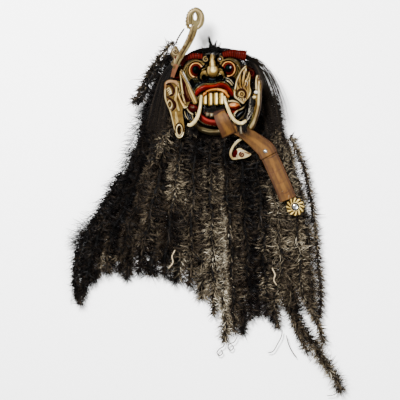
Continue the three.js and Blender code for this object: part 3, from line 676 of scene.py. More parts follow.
def make_fringe():
    """Long loose hairs that stand out past the mane's left and lower edges."""
    paths = []
    for line, heading, spread, length, count in FRINGE:
        roots = smooth(line, 200)[RNG.integers(0, 200, count)] + RNG.normal(0, (5, 5, 3), (count, 3))
        angles = np.radians(RNG.normal(heading, spread, count))
        for root, angle in zip(roots, angles):
            reach = length * RNG.uniform(0.6, 1.5)
            bend = RNG.normal(0, 0.35)
            middle = root + 0.5 * reach * np.array((math.cos(angle), math.sin(angle), 0.05))
            tip = middle + 0.5 * reach * np.array((math.cos(angle + bend), math.sin(angle + bend), -0.1))
            path = np.array([root, middle, tip])
            path[:, 0] = np.maximum(path[:, 0], FRINGE_END)
            path[:, 2] = np.maximum(path[:, 2], FRINGE_FOOT)
            paths.append(path)
    strands("hair_fringe", "mane_fur", paths, 0.75, RNG.uniform(0.02, 0.45, len(paths)) ** 1.5, (), 5)


# Each has its first and last hair, their number, how far they wander and how light the lightest is.
HEAD_HAIR = {
    "right": ([(56, 112, 50), (98, 100, 50), (126, 68, 50), (148, 18, 50), (174, -70, 46)],
              [(86, 96, 50), (110, 74, 50), (122, 30, 52), (130, -36, 54), (142, -110, 52)], 260, 2.6, 1),
    "stray": ([(60, 112, 56), (122, 90, 56), (160, 46, 54), (186, -10, 50), (198, -66, 46)],
              [(90, 98, 54), (130, 68, 54), (156, 20, 54), (168, -40, 52), (176, -100, 48)], 60, 5.0, 1),
    "left": ([(-90, 96, 60), (-128, 56, 60), (-152, -10, 58), (-172, -90, 50)],
             [(-84, 84, 60), (-104, 40, 58), (-114, -20, 56), (-122, -100, 52)], 200, 3.0, 1),
    "top": ([(-84, 94, 52), (-44, 117, 54), (0, 123, 55), (52, 119, 54), (98, 104, 52)],
            [(-80, 90, 54), (-42, 110, 56), (0, 115, 57), (50, 112, 56), (94, 100, 54)], 70, 1.4, 0.3),
}


COLLAR = {"x": 3, "half_width": 94, "half_height": 113, "z": 44.0, "fur_width": 9.0, "fur_height": 6.0,
          "tone": 0.03}


def make_head_hair():
    """The furry hide ring round the face and the black hair that sweeps from the brow down both sides."""
    angle = np.linspace(0, TURN, 90)
    rest = np.tile([COLLAR["z"], COLLAR["fur_width"], COLLAR["fur_height"], COLLAR["tone"]], (90, 1))
    ring = np.column_stack([COLLAR["x"] + COLLAR["half_width"] * np.cos(angle),
                            COLLAR["half_height"] * np.sin(angle), rest])
    furry("fur_collar", [ring], "mane_fur", "hide_collar", Seed=61, Spacing=0.00018, Length=1.2,
          Thickness=0.0011, Lean=0.3, Spread=1.0, Side=0.8)
    drawn_fur("fur_right_head", RIGHT_HEAD, Seed=67, Spacing=0.00045, Length=1.3, Thickness=0.0011, Lean=1.0,
              Spread=1.7)
    for name, (first, last, count, wander, light) in HEAD_HAIR.items():
        paths = swept(first, last, count, wander, 6)
        tone = RNG.uniform(0.05, 0.62, count) ** 2 * light
        strands("hair_" + name, "dark_hair", paths, 0.5, tone, (), 10)


# ---------- carved and painted surfaces ----------
INK = (0.003, 0.003, 0.004)
GOLD = (0.20, 0.135, 0.045)
PALE_GOLD = (0.33, 0.25, 0.11)
OLIVE = (0.11, 0.082, 0.030)
BROWN = (0.035, 0.018, 0.008)
CREAM = (0.40, 0.33, 0.19)
WHITE = (0.48, 0.46, 0.40)
RED = (0.085, 0.006, 0.005)
ORANGE = (0.34, 0.12, 0.025)
SLATE = (0.014, 0.020, 0.026)
GREY = (0.10, 0.105, 0.105)


def distances(x, y, path):
    """Distance of each place to a drawn line, and how far along the line its nearest point is, 0 to 1."""
    path = np.asarray(path, float)
    best, share = np.full(x.shape, 1e9), np.zeros(x.shape)
    lengths = np.linalg.norm(np.diff(path, axis=0), axis=1)
    total, done = lengths.sum(), 0.0
    for (ax, ay), (bx, by), length in zip(path[:-1], path[1:], lengths):
        if length < 1e-9:
            continue
        ux, uy = (bx - ax) / length, (by - ay) / length
        t = np.clip((x - ax) * ux + (y - ay) * uy, 0, length)
        d = np.hypot(x - ax - t * ux, y - ay - t * uy)
        near = d < best
        best[near] = d[near]
        share[near] = (done + t[near]) / total
        done += length
    return best, share


def inside_depth(x, y, outline):
    """How far inside a closed outline each place is; negative outside."""
    ring = np.vstack([outline, outline[:1]])
    depth, _ = distances(x, y, ring)
    inside = np.zeros(x.shape, bool)
    for (ax, ay), (bx, by) in zip(ring[:-1], ring[1:]):
        if ay == by:
            continue
        crosses = (ay > y) != (by > y)
        inside ^= crosses & (x < (bx - ax) * (y - ay) / (by - ay) + ax)
    return np.where(inside, depth, -depth)


def closed(points, count=6):
    """Smooth closed outline through the points."""
    p = np.asarray(points, float)
    looped = np.vstack([p[-2:], p, p[:3]])
    line = smooth(looped, (len(looped) - 1) * count + 1)
    return line[2 * count:(len(p) + 2) * count]


def beside(path, amount):
    """The line that runs beside a drawn one, to its left by that much."""
    line = smooth(path, 6 * len(path))
    along = np.gradient(line, axis=0)
    along /= np.linalg.norm(along, axis=1)[:, None]
    return line + np.column_stack([-along[:, 1], along[:, 0]]) * amount


def deep(colour):
    """The strong light of the scene needs darker and richer paint than the plain colours above."""
    return 0.6 * np.asarray(colour) ** 1.3


def write_paint(mesh, colours, gilt=0.0):
    """Stores the paint and the gilding at each point, where the materials read them."""
    total = len(mesh.vertices)
    rgba = np.ones((total, 4))
    rgba[:, :3] = colours
    mesh.attributes.new("paint", "FLOAT_COLOR", "POINT").data.foreach_set("color", rgba.ravel())
    values = np.array(np.broadcast_to(gilt, total), float)
    mesh.attributes.new("gilt", "FLOAT", "POINT").data.foreach_set("value", values)
    return mesh


def coated(mesh, material):
    """Gives a smooth mesh its one material."""
    mesh.materials.append(material)
    mesh.shade_smooth()
    return mesh


BARE = (0.06, 0.035, 0.018)  # wood and hide with no paint
SOFT_STEP = 0.9  # width of a painted edge in millimetres


class Drawing:
    """Places of a surface with their height, colour and gilding, in millimetres."""

    def __init__(self, x, y, z, colour, gilt=0.0):
        self.x, self.y = x.ravel(), y.ravel()
        self.z = np.array(np.broadcast_to(z, x.shape), float).ravel()
        self.colour = np.tile(np.array(colour, float), (len(self.x), 1))
        self.gilt = np.full(len(self.x), float(gilt))

    def paint(self, depth, colour, gilt=0.0):
        """Colours what is inside an edge, with a soft step across it."""
        if colour is None:
            return
        cover = np.clip(depth / SOFT_STEP + 0.5, 0, 1)
        self.colour += (np.array(colour) - self.colour) * cover[:, None]
        self.gilt += (gilt - self.gilt) * cover

    def line(self, path, width, rise=0.0, colour=None, gilt=0.0):
        """A raised or sunk stroke; width is its half width, or a list of them along it."""
        d, share = distances(self.x, self.y, smooth(path, 5 * len(path)))
        widths = np.atleast_1d(width).astype(float)
        w = np.interp(share, np.linspace(0, 1, len(widths)), widths)
        self.z += rise * np.sqrt(np.clip(1 - (d / w) ** 2, 0, 1))
        self.paint(w - d, colour, gilt)

    def dome(self, cx, cy, rx, ry, low, high, colour=None, gilt=0.0, power=2.0):
        """A boss that stands out of what is there: low is its foot, high is its height over that."""
        q = (np.abs((self.x - cx) / rx) ** power + np.abs((self.y - cy) / ry) ** power) ** (1 / power)
        top = low + high * np.sqrt(np.clip(1 - q**2, 0, 1))
        shown = (q < 1) & (top > self.z)
        self.z = np.where(shown, top, self.z)
        self.paint(np.where(shown, (1 - q) * min(rx, ry), -9), colour, gilt)

    def oval(self, cx, cy, rx, ry, colour, rise=0.0, ring=None, gilt=0.0):
        """A filled oval, or with ring a band of that half width on the oval's line."""
        q = np.hypot((self.x - cx) / rx, (self.y - cy) / ry)
        depth = (1 - q) * (rx + ry) / 2
        if ring is None:
            self.z += rise * np.sqrt(np.clip(1 - q**2, 0, 1))
        else:
            self.z += rise * np.sqrt(np.clip(1 - (depth / ring) ** 2, 0, 1))
            depth = ring - np.abs(depth)
        self.paint(depth, colour, gilt)

    def area(self, outline, colour=None, rise=0.0, slope=2.0, gilt=0.0, floor=None):
        """A filled outline, raised with sloping sides, or cut down to a floor."""
        depth = inside_depth(self.x, self.y, closed(outline))
        step = np.clip(depth / slope, 0, 1)
        if floor is not None:
            self.z += (np.minimum(self.z, floor) - self.z) * step
        self.z += rise * step * step * (3 - 2 * step)
        self.paint(depth, colour, gilt)

    def spiral(self, cx, cy, radius, hand, start, width, rise, colour, gilt=0.0, turns=1.25):
        angles = start + hand * np.linspace(0, turns * TURN, 14)
        r = radius * np.linspace(1, 0.18, 14)
        path = np.column_stack([cx + r * np.cos(angles), cy + r * np.sin(angles)])
        self.line(path, width, rise, colour, gilt)

    def give(self, mesh, back=BARE):
        """Writes the colours to the first points of a mesh. The rest is its back, which is left bare."""
        colours = np.tile(np.array(back, float), (len(mesh.vertices), 1))
        gilt = np.zeros(len(mesh.vertices))
        colours[:len(self.x)] = deep(self.colour)
        gilt[:len(self.x)] = self.gilt
        return write_paint(mesh, colours, gilt)


def lacquer_paint(sheet):
    """Hand-laid paint and gilding, with grime, worn spots and faint brush marks."""
    paint = sheet.node("ShaderNodeAttribute", {"attribute_name": "paint"}, None, "Color")
    gilt = sheet.node("ShaderNodeAttribute", {"attribute_name": "gilt"}, None, "Fac")
    broad = sheet.noise(28, 4)
    fine = sheet.noise(260, 3)
    grime = broad.step(0.44, 0.66) * 0.75 + fine.step(0.56, 0.75) * 0.25
    colour = sheet.mix(grime, paint, sheet.mix(1.0, paint, (0.42, 0.30, 0.19), "MULTIPLY"))
    light = broad.step(0.50, 0.30) * fine.step(0.35, 0.6)
    colour = sheet.mix(light * 0.55, colour, sheet.mix(1.0, colour, (1.5, 1.45, 1.3), "MULTIPLY"))
    return {
        "Base Color": colour,
        "Metallic": gilt * 0.5,
        "Roughness": 0.42 - gilt * 0.08 + grime * 0.3,
        "Specular IOR Level": 0.0,
        "Coat Weight": sheet.node("ShaderNodeRGBToBW", None, {0: paint}).step(0.002, 0.04) * 0.16,
        "Coat Roughness": 0.10,
        "Normal": sheet.bump(fine + broad * 0.5, 0.25, 0.0012),
    }


LACQUER = new_material("painted_gilding", lacquer_paint)

FACE = {"x": 3.0, "half_width": 92.0, "half_height": 112.0, "depth": 84.0, "wall": 12.0}
MUZZLE = {"x": 3.0, "y": -32.0, "z": 52.0, "half_width": 58.0, "half_height": 60.0, "height": 42.0}
MOUTH_SLOT = {"x": 6, "half_width": 30, "low": -52, "high": -26}  # the way through, behind the teeth
FACE_GRID = (200, 240)  # points across and up, less one
BACK_STEP = 5  # front points to each point of the back


def reach_for(depth, half, count):
    """Distances from the middle, 0 to 1, that are evenly spaced over the dome and its steep side."""
    r = np.sin(np.linspace(0, math.pi / 2, 2000))
    z = depth * np.sqrt(1 - r**6)
    s = np.concatenate([[0], np.cumsum(np.hypot(np.diff(r * half), np.diff(z)))])
    return np.interp(np.linspace(0, s[-1], count), s, r)


def face_plan(grow):
    """x, y and bare height of the face over a square net of points, grown by some millimetres."""
    across, up = FACE_GRID
    half_width, half_height = FACE["half_width"] + grow, FACE["half_height"] + grow
    a = reach_for(FACE["depth"], half_width, across // 2 + 1)
    b = reach_for(FACE["depth"], half_height, up // 2 + 1)
    a, b = np.concatenate([-a[:0:-1], a]), np.concatenate([-b[:0:-1], b])
    a, b = np.meshgrid(a, b)
    norm = (np.abs(a) ** 3 + np.abs(b) ** 3) ** (1 / 3)
    reach = np.maximum(np.abs(a), np.abs(b))
    scale = reach / np.maximum(norm, 1e-9)
    height = (FACE["depth"] + grow) * np.sqrt(np.clip(1 - reach**6, 0, 1))
    return FACE["x"] + a * scale * half_width, b * scale * half_height, height


UPPER_LIP = [(-41, -1), (-36, 7), (-28, 13), (-17, 17), (-6, 18), (8, 19), (21, 23), (33, 20), (44, 9),
             (52, -1)]
LOWER_LIP = [(-34, -44), (-30, -56), (-22, -64), (-12, -69), (2, -72), (18, -73), (34, -67), (44, -52)]
CHIN_ROLL = [(-46, -76), (-29, -90), (2, -98), (32, -94), (52, -76)]
GUM = [(-24, -3), (-16, 4), (-6, 8), (8, 10.5), (22, 10.5), (33, 5), (42, -6)]
MOUTH = [(-27, 0), (-12, 8), (18, 11), (36, -4), (42, -40), (38, -54), (14, -66), (-12, -64), (-28, -44)]
EYES = ((-42, 63, -1), (42.5, 66.5, 1))
DEEP_RED = (0.060, 0.004, 0.004)


def draw_eye(face, cx, cy, side):
    # A sunk ring round the eye, painted black: partly the mask's black outline, partly painted shade in the
    # socket.
    face.oval(cx, cy, 24, 25, INK, rise=-5)
    face.line([(cx + side * 22, cy + 14), (cx, cy + 24), (cx - side * 19, cy + 17), (cx - side * 22, cy - 4)],
              [1.5, 2.8, 2.8, 1.5], 3, GOLD, 0.5)
    face.oval(cx, cy, 19.3, 21.3, OLIVE, rise=6, ring=5.5, gilt=0.5)
    face.oval(cx, cy, 18.6, 20.6, INK, ring=3.0)
    face.oval(cx, cy, 15.8, 17.8, (0.38, 0.20, 0.07), rise=2, ring=2.2)
    face.dome(cx, cy, 13.0, 15.0, 80, 17, DEEP_RED)
    face.oval(cx, cy, 13.4, 15.4, (0.02, 0.003, 0.002), ring=1.8, rise=-0.8)
    face.oval(cx, cy, 11.6, 13.6, (0.22, 0.04, 0.014), ring=1.4)
    face.oval(cx, cy + 0.4, 10.0, 11.8, (0.08, 0.006, 0.006), ring=2.2)
    face.oval(cx - 0.2, cy + 0.8, 9.6, 11.2, INK)
    face.oval(cx - 2.5, cy + 3, 3.2, 3.8, (0.004, 0.016, 0.012))
    # A small pale spot on the right eye is a painted highlight.
    if side > 0:
        face.oval(cx + 5, cy + 3.4, 1.9, 2.6, (0.30, 0.33, 0.40))


def draw_brow(face):
    face.area([(-86, 100), (90, 104), (84, 78), (64, 90), (40, 92), (24, 78), (12, 72), (-10, 72), (-22, 80),
               (-40, 88), (-62, 84), (-80, 66)], INK, -1.5)
    for side, shift in ((-1, -3), (1, 0)):
        y = shift
        face.line([(side * 74, 66 + y), (side * 66, 84 + y), (side * 48, 92 + y), (side * 27, 88 + y)],
                  [3, 5.5, 5, 2.5], 5, OLIVE, 0.5)
        face.line([(side * 70, 72 + y), (side * 58, 86 + y), (side * 40, 90 + y)], [0.8, 1.6, 0.8], 0.8, GOLD,
                  0.6)
        face.line([(side * 79, 40), (side * 76, 62), (side * 68, 78)], [2.4, 4.4, 2.6], 3, OLIVE, 0.4)
        face.line([(side * 66, 40), (side * 70, 54), (side * 67, 66)], [0.8, 1.3, 0.8], 0.6, GOLD, 0.5)
    face.line([(1, 78), (1, 98), (-1, 116)], [8, 7.5, 3], 11, GOLD, 0.6)
    face.line([(-6.5, 78), (-6, 94), (-3, 108)], [1.5, 1.3, 0.8], -2, BROWN)
    face.line([(8, 78), (7, 94), (3, 108)], [1.5, 1.3, 0.8], -2, BROWN)
    face.line([(1, 80), (2, 96), (0, 110)], [1.4, 2.0, 0.8], 2, PALE_GOLD, 0.6)
    for cx, cy, r, hand in ((-16, 92, 8, 1), (20, 92, 9, -1)):
        face.spiral(cx, cy, r, hand, math.pi / 2, [3.6, 3.0, 2.2], 4, SLATE)
        face.spiral(cx, cy, r, hand, math.pi / 2, [1.1, 0.9, 0.6], 1.2, GOLD)
    face.oval(20, 92, 2.3, 2.6, WHITE, 1)
    face.spiral(73, 92, 9, -1, 2.2, [2.8, 2.2, 1.4], 3, INK)
    face.line([(68, 94), (74, 97), (80, 93)], [0.6, 1.0, 0.6], 1, CREAM)


def draw_nose(face):
    face.area([(-34, 60), (-28, 70), (-14, 80), (16, 80), (30, 70), (36, 58), (40, 40), (30, 32), (-28, 32),
               (-40, 42)],
              INK, -2)
    for side in (-1, 1):
        face.dome(side * 19 + 1, 52, 12, 11, 82, 15, GOLD, 0.5)
        face.line([(side * 11, 76), (side * 18, 68), (side * 27, 63)], [3.5, 3, 1.5], 4, OLIVE, 0.5)
        face.line([(side * 9, 84), (side * 15, 72), (side * 28, 66), (side * 34, 50)], [1.6, 1.6, 2.2, 2.2],
                  -3, INK)
    face.dome(1, 74, 9, 18, 80, 20, GOLD, 0.6)
    face.dome(2, 60, 18, 15.5, 82, 30, GOLD, 0.6)
    # A pale stroke down the bridge of the nose is a painted highlight.
    face.line([(-1, 92), (1, 78), (3, 62)], [1.6, 3.6, 6.5], 0.8, (0.50, 0.41, 0.20), 0.3)
    face.line([(-9, 72), (-12, 62), (-9, 54)], [0.8, 1.8, 1.2], 0.8, PALE_GOLD, 0.5)
    for side in (-1, 1):
        face.line([(side * 8 + 1, 80), (side * 14 + 1, 68), (side * 14 + 1, 50)], [1.0, 1.6, 1.4], -1.8,
                  BROWN)
        face.line([(side * 4 + 1, 72), (side * 6 + 1, 64)], [0.8, 1.0], -0.8, BROWN)
        face.dome(side * 21.5 + 1, 44, 9, 9, 82, 12, BROWN)
        face.line([(side * 13 + 1, 48), (side * 22 + 1, 54), (side * 30 + 1, 48), (side * 30 + 1, 40)],
                  [1, 1.8, 1.8, 1], 1.5, OLIVE, 0.5)
        face.oval(side * 21.5 + 1, 43.5, 7.0, 7.4, INK, -14)
    face.area([(-14, 48), (-4, 45), (8, 45), (17, 48), (16, 38), (8, 32), (-6, 32), (-13, 38)], INK, 1)
    face.area([(-8, 43), (10, 43), (10, 39), (5, 36), (-3, 36), (-8, 39)], SLATE, 0.6)
    face.line([(-7, 41), (1, 39.5), (9, 41)], [0.4, 0.8, 0.4], 0.4, (0.05, 0.055, 0.06))


def draw_moustache(face):
    band = [(-52, -2), (-46, 12), (-36, 24), (-22, 31), (-6, 30), (8, 30), (22, 36), (36, 34), (48, 22),
            (58, 4)]
    face.area([(-62, 30), (-44, 46), (-30, 36), (32, 36), (48, 48), (66, 34), (62, 4), (40, 10), (-30, 12),
               (-56, 0)],
              INK, -1)
    face.line(band, [6, 7, 7, 6, 5, 5, 6, 7, 7, 6], 2, INK)
    for share in np.linspace(0.06, 0.94, 21):
        x, y = beside(band, 2.6)[int(share * (6 * len(band) - 1))]
        face.oval(x, y, 0.9, 0.9, (0.07, 0.09, 0.07), 0.5)
    face.line(beside(band, -3.4), [0.6, 0.9, 0.9, 0.6], 1.5, (0.07, 0.055, 0.03))
    for k in range(3):
        face.line([(-52 + 6 * k, 44 - k), (-46 + 6 * k, 36 - k), (-44 + 6 * k, 30 + k)], [0.5, 1.0, 0.5], 1,
                  (0.05, 0.045, 0.02))
    face.line([(36, 43), (47, 38), (55, 28)], [0.6, 1.2, 0.6], 1.2, (0.25, 0.23, 0.17))
    face.line([(38, 37), (46, 31), (52, 24)], [0.6, 1.2, 0.6], 1.2, CREAM)


def draw_lips(face):
    face.line(UPPER_LIP, [4, 8, 8.6, 8.0, 7.4, 7.2, 8.2, 8.4, 7.6, 4.5], 9, RED)
    face.line(beside(UPPER_LIP, 8.8), [0.8, 1.2, 1.2, 0.8], 0.5, GOLD, 0.5)
    # A brighter red line along the top of the upper lip is a painted highlight; a darker band along its lower
    # part is painted shade.
    face.line(beside(UPPER_LIP, 4.2), [1.0, 1.8, 1.0], 0.6, (0.17, 0.017, 0.009))
    face.line(beside(UPPER_LIP, -4.0), [1.5, 3.4, 3.4, 1.5], 0, DEEP_RED)
    face.line(beside(UPPER_LIP, -6.4), 1.1, -1, INK)
    face.line(GUM, [2.5, 4.6, 5.0, 4.8, 5.2, 5.2, 3], 9, ORANGE)
    # A paler line along the gum's upper edge is a painted highlight.
    face.line(beside(GUM, 1.4), [1.0, 2.4, 3.0, 1.4], 0.5, (0.50, 0.28, 0.08))
    face.line(beside(GUM, -4.4), [0.6, 1.3, 1.3, 0.6], -0.8, (0.06, 0.012, 0.005))
    face.line(LOWER_LIP, [3.5, 7.5, 9.2, 9.2, 8.8, 7.5, 5], 9, (0.11, 0.010, 0.008))
    # A lighter band along the top of the lower lip is a painted highlight.
    face.line(beside(LOWER_LIP, 2.0), [1, 3.0, 3.0, 1], 0.5, (0.21, 0.038, 0.030))
    face.line(beside(LOWER_LIP, -9.6), 0.9, 1.2, CREAM)
    face.line(beside(LOWER_LIP, -13.6), 3.6, 0, INK)


def draw_teeth(face):
    face.area(MOUTH, (0.004, 0.002, 0.002), slope=3, floor=76)
    for x, low, wide in ((-18, -27.5, 5.8), (-4.3, -29.5, 6.1), (10.1, -28, 6.4), (24.6, -27, 6.3)):
        mid, tall = (low + 5) / 2, (5 - low) / 2
        q = (np.abs((face.x - x) / wide) ** 5 + np.abs((face.y - mid) / tall) ** 8) ** 0.2
        top = 84 + 12 * np.sqrt(np.clip(1 - q**5, 0, 1))
        inside = (q < 1) & (top > face.z)
        face.z = np.where(inside, top, face.z)
        face.paint(np.where(inside, (1 - q) * wide, -9), (0.07, 0.045, 0.012))
        face.paint(np.where(inside, (1 - q) * wide - 0.9, -9), (0.42, 0.31, 0.10))
        # Each tooth's left side is painted darker as painted shade and its right side carries a painted
        # highlight.
        face.line([(x - 3.6, 4), (x - 3.6, -10), (x - 3.2, low + 3)], [1.0, 1.3, 1.0], -0.4,
                  (0.20, 0.13, 0.035))
        face.line([(x + 1.4, 2), (x + 1.6, -10), (x + 1.6, low + 4)], [1.2, 1.9, 1.5], 0.6,
                  (0.86, 0.76, 0.46))
        face.line([(x - 4, low + 1.5), (x + 4, low + 1.5)], 1.0, 0, (0.35, 0.27, 0.08))
    for x, y, rx, ry, colour in ((-20, -46, 4, 6, (0.16, 0.06, 0.045)), (-12, -51, 5.5, 6,
                                                                         (0.15, 0.12, 0.08)),
                                 (-1, -53, 6, 6.5, (0.17, 0.14, 0.09)), (11, -51, 7, 7, (0.12, 0.09, 0.06))):
        face.dome(x, y, rx, ry, 74, 9, colour, power=3)


def draw_cheeks(face):
    face.area([(-84, 4), (-52, -6), (-34, -16), (-32, -40), (-38, -64), (-58, -88), (-84, -60)], INK, -1)
    face.dome(-47, -36, 17, 13, 70, 18, (0.035, 0.005, 0.005))
    # A small pale spot on the left cheek's dome is a painted highlight.
    face.oval(-50, -32, 6, 4, (0.07, 0.045, 0.028))
    face.line([(-62, -26), (-50, -28), (-38, -36)], [1.2, 2.2, 1.2], 0.8, (0.07, 0.008, 0.006))
    face.line([(-67, -34), (-58, -46), (-46, -54), (-38, -60)], [0.8, 1.3, 1.2, 0.8], 1, CREAM)
    for k in range(6):
        x = -78 + 6.5 * k
        face.line([(x, -40 - 3 * k), (x + 3, -52 - 3 * k), (x + 10, -62 - 3 * k)], [0.4, 0.7, 0.4], 1.0,
                  (GREY, CREAM, GREY)[k % 3])
    face.area([(46, -4), (70, -6), (92, -2), (92, -60), (72, -84), (50, -64), (44, -30)], INK, -1)
    face.dome(56, -30, 17, 11, 70, 24, ORANGE)
    face.area([(42, -34), (60, -32), (73, -28), (66, -44), (54, -48), (44, -44)], (0.10, 0.010, 0.006))
    # A pale spot on the right cheek's dome is a painted highlight.
    face.oval(52, -25, 9, 5.0, (0.46, 0.27, 0.14))
    face.line([(60, -36), (64, -42), (56, -46)], [1.6, 3, 2], 1, (0.16, 0.016, 0.008))
    face.line([(42, -18), (54, -17), (68, -22), (74, -30)], [1.2, 2.2, 1.6, 0.8], 1.5, CREAM)
    leaf = [(57, -50), (66, -41), (78, -36), (92, -24), (90, -40), (80, -56), (68, -66), (59, -64)]
    face.area(leaf, INK, 5, 3)
    face.line(leaf + leaf[:1], [1.4, 1.8, 1.4], 1.5, CREAM)
    face.line([(64, -58), (72, -50), (82, -42)], [1.0, 2.4, 1.0], 1.0, SLATE)
    face.line([(66, -56), (73, -49), (80, -44)], [0.6, 1.2, 0.6], 0.6, GREY)
    for k in range(6):
        face.line([(72 + 3.6 * k, -78 + 8 * k), (83 + 2.0 * k, -62 + 8 * k), (90 + 0.6 * k, -44 + 9 * k)],
                  [0.6, 1.3, 0.6], 1.5, (WHITE, GREY, CREAM)[k % 3])


def draw_chin(face):
    face.line(beside(CHIN_ROLL, -9), [6, 9, 10, 9, 6], 0, INK)
    face.line(CHIN_ROLL, [4, 7, 7.5, 7, 4], 8, (0.080, 0.066, 0.036), 0.2)
    # A paler stroke along the chin roll is a painted highlight.
    face.line([(-26, -92), (-6, -97), (18, -97)], [1.0, 2.2, 3.2], 0.8, (0.24, 0.20, 0.12), 0.2)
    for hand, cx in ((-1, -56), (1, 66)):
        face.spiral(cx, -78, 8, hand, math.pi / 2, [2.6, 1.6], 3, OLIVE, 0.3)


def shade_hollows_light_ridges(sheet, height, picked, strength=0.5, reach=4):
    """Darkens a carved net's hollows with painted shade and old dirt, and lightens its ridges as painted
    highlight and wear.
    """
    soft = height.copy()
    for _ in range(reach):
        padded = np.pad(soft, 1, "edge")
        soft = (soft + padded[:-2, 1:-1] + padded[2:, 1:-1] + padded[1:-1, :-2] + padded[1:-1, 2:]) / 5
    rise = (height - soft)[picked]
    # Painted shade mixed with dirt goes in the hollows; painted highlight mixed with wear goes on the ridges.
    hollow_shade_and_dirt = np.clip(-rise * strength, 0, 0.92)[:, None]
    ridge_highlight_and_wear = np.clip(rise * strength * 0.6, 0, 0.30)[:, None]
    sheet.colour = sheet.colour * (1 - hollow_shade_and_dirt) * (1 + ridge_highlight_and_wear)


def make_face():
    """The carved face over a net of points, its coarse hollow back, and the way through its mouth."""
    x, y, z = face_plan(0.0)
    rows, columns = x.shape
    ball = ((x - MUZZLE["x"]) / MUZZLE["half_width"]) ** 2 + ((y - MUZZLE["y"]) / MUZZLE["half_height"]) ** 2
    bulge = MUZZLE["z"] + MUZZLE["height"] * np.sqrt(np.clip(1 - ball, 0, 1))
    z = np.maximum(z, bulge * (ball < 1))
    face = Drawing(x, y, z, OLIVE, 0.35)
    face.colour *= 0.72 + 0.5 * np.clip(wave_noise(face.x, face.y, 22, 9), 0, 1)[:, None]
    draw_cheeks(face)
    draw_chin(face)
    draw_brow(face)
    for eye in EYES:
        draw_eye(face, *eye)
    draw_nose(face)
    draw_moustache(face)
    draw_teeth(face)
    draw_lips(face)
    rim = np.clip((0.97 - face_reach(face.x, face.y)) / 0.03, 0, 1)
    face.z = z.ravel() + (face.z - z.ravel()) * rim
    face.paint((face_reach(face.x, face.y) - 0.985) * 90, (0.012, 0.007, 0.005))
    shade_hollows_light_ridges(face, face.z.reshape(rows, columns), np.ones((rows, columns), bool), 0.9, 5)

    bx, by, bz = (net[::BACK_STEP, ::BACK_STEP] for net in face_plan(-FACE["wall"]))
    back_rows, back_columns = bx.shape
    points = np.vstack([np.column_stack([face.x, face.y, face.z]),
                        np.column_stack([bx.ravel(), by.ravel(), bz.ravel()])])
    slot = np.abs(bx - MOUTH_SLOT["x"]) < MOUTH_SLOT["half_width"]
    slot &= (by < MOUTH_SLOT["high"]) & (by > MOUTH_SLOT["low"])
    faces = shell_faces(rows, columns, back_rows, back_columns, slot)
    mesh = new_mesh("carved_face", to_frame(points), faces)
    coated(face.give(mesh), LACQUER)
    tidy_mesh(mesh)
    new_piece("face_carving", mesh, "painted_wood", "carved_face")


def face_reach(x, y):
    """0 in the middle of the face, 1 at its rim."""
    a, b = np.abs(x - FACE["x"]) / FACE["half_width"], np.abs(y) / FACE["half_height"]
    return (a**3 + b**3) ** (1 / 3)


def shell_faces(rows, columns, back_rows, back_columns, slot):
    """Faces of the fine front, the coarse back, the rim between them and the walls of the slot."""
    step, front = BACK_STEP, rows * columns
    cut = slot[:-1, :-1] & slot[1:, :-1] & slot[:-1, 1:] & slot[1:, 1:]
    faces, edges = [], set()
    for r in range(rows - 1):
        for c in range(columns - 1):
            if not cut[r // step, c // step]:
                k = r * columns + c
                faces.append((k, k + 1, k + columns + 1, k + columns))
    for r in range(back_rows - 1):
        for c in range(back_columns - 1):
            if not cut[r, c]:
                k = front + r * back_columns + c
                faces.append((k, k + back_columns, k + back_columns + 1, k + 1))
                corners = [(r, c), (r, c + 1), (r + 1, c + 1), (r + 1, c)]
                edges.update(zip(corners, corners[1:] + corners[:1]))
    for (r0, c0), (r1, c1) in sorted(edges):
        if ((r1, c1), (r0, c0)) not in edges:
            fine = [(r0 * step + (r1 - r0) * j) * columns + c0 * step + (c1 - c0) * j for j in range(step, -1,
                                                                                                     -1)]
            faces.append((*fine, front + r0 * back_columns + c0, front + r1 * back_columns + c1))
    return faces


def tidy_mesh(mesh):
    """Drops the points that no face uses."""
    mesh.validate()
    work = bmesh.new()
    work.from_mesh(mesh)
    bmesh.ops.delete(work, geom=[v for v in work.verts if not v.link_faces], context="VERTS")
    work.to_mesh(mesh)
    work.free()
    mesh.update()


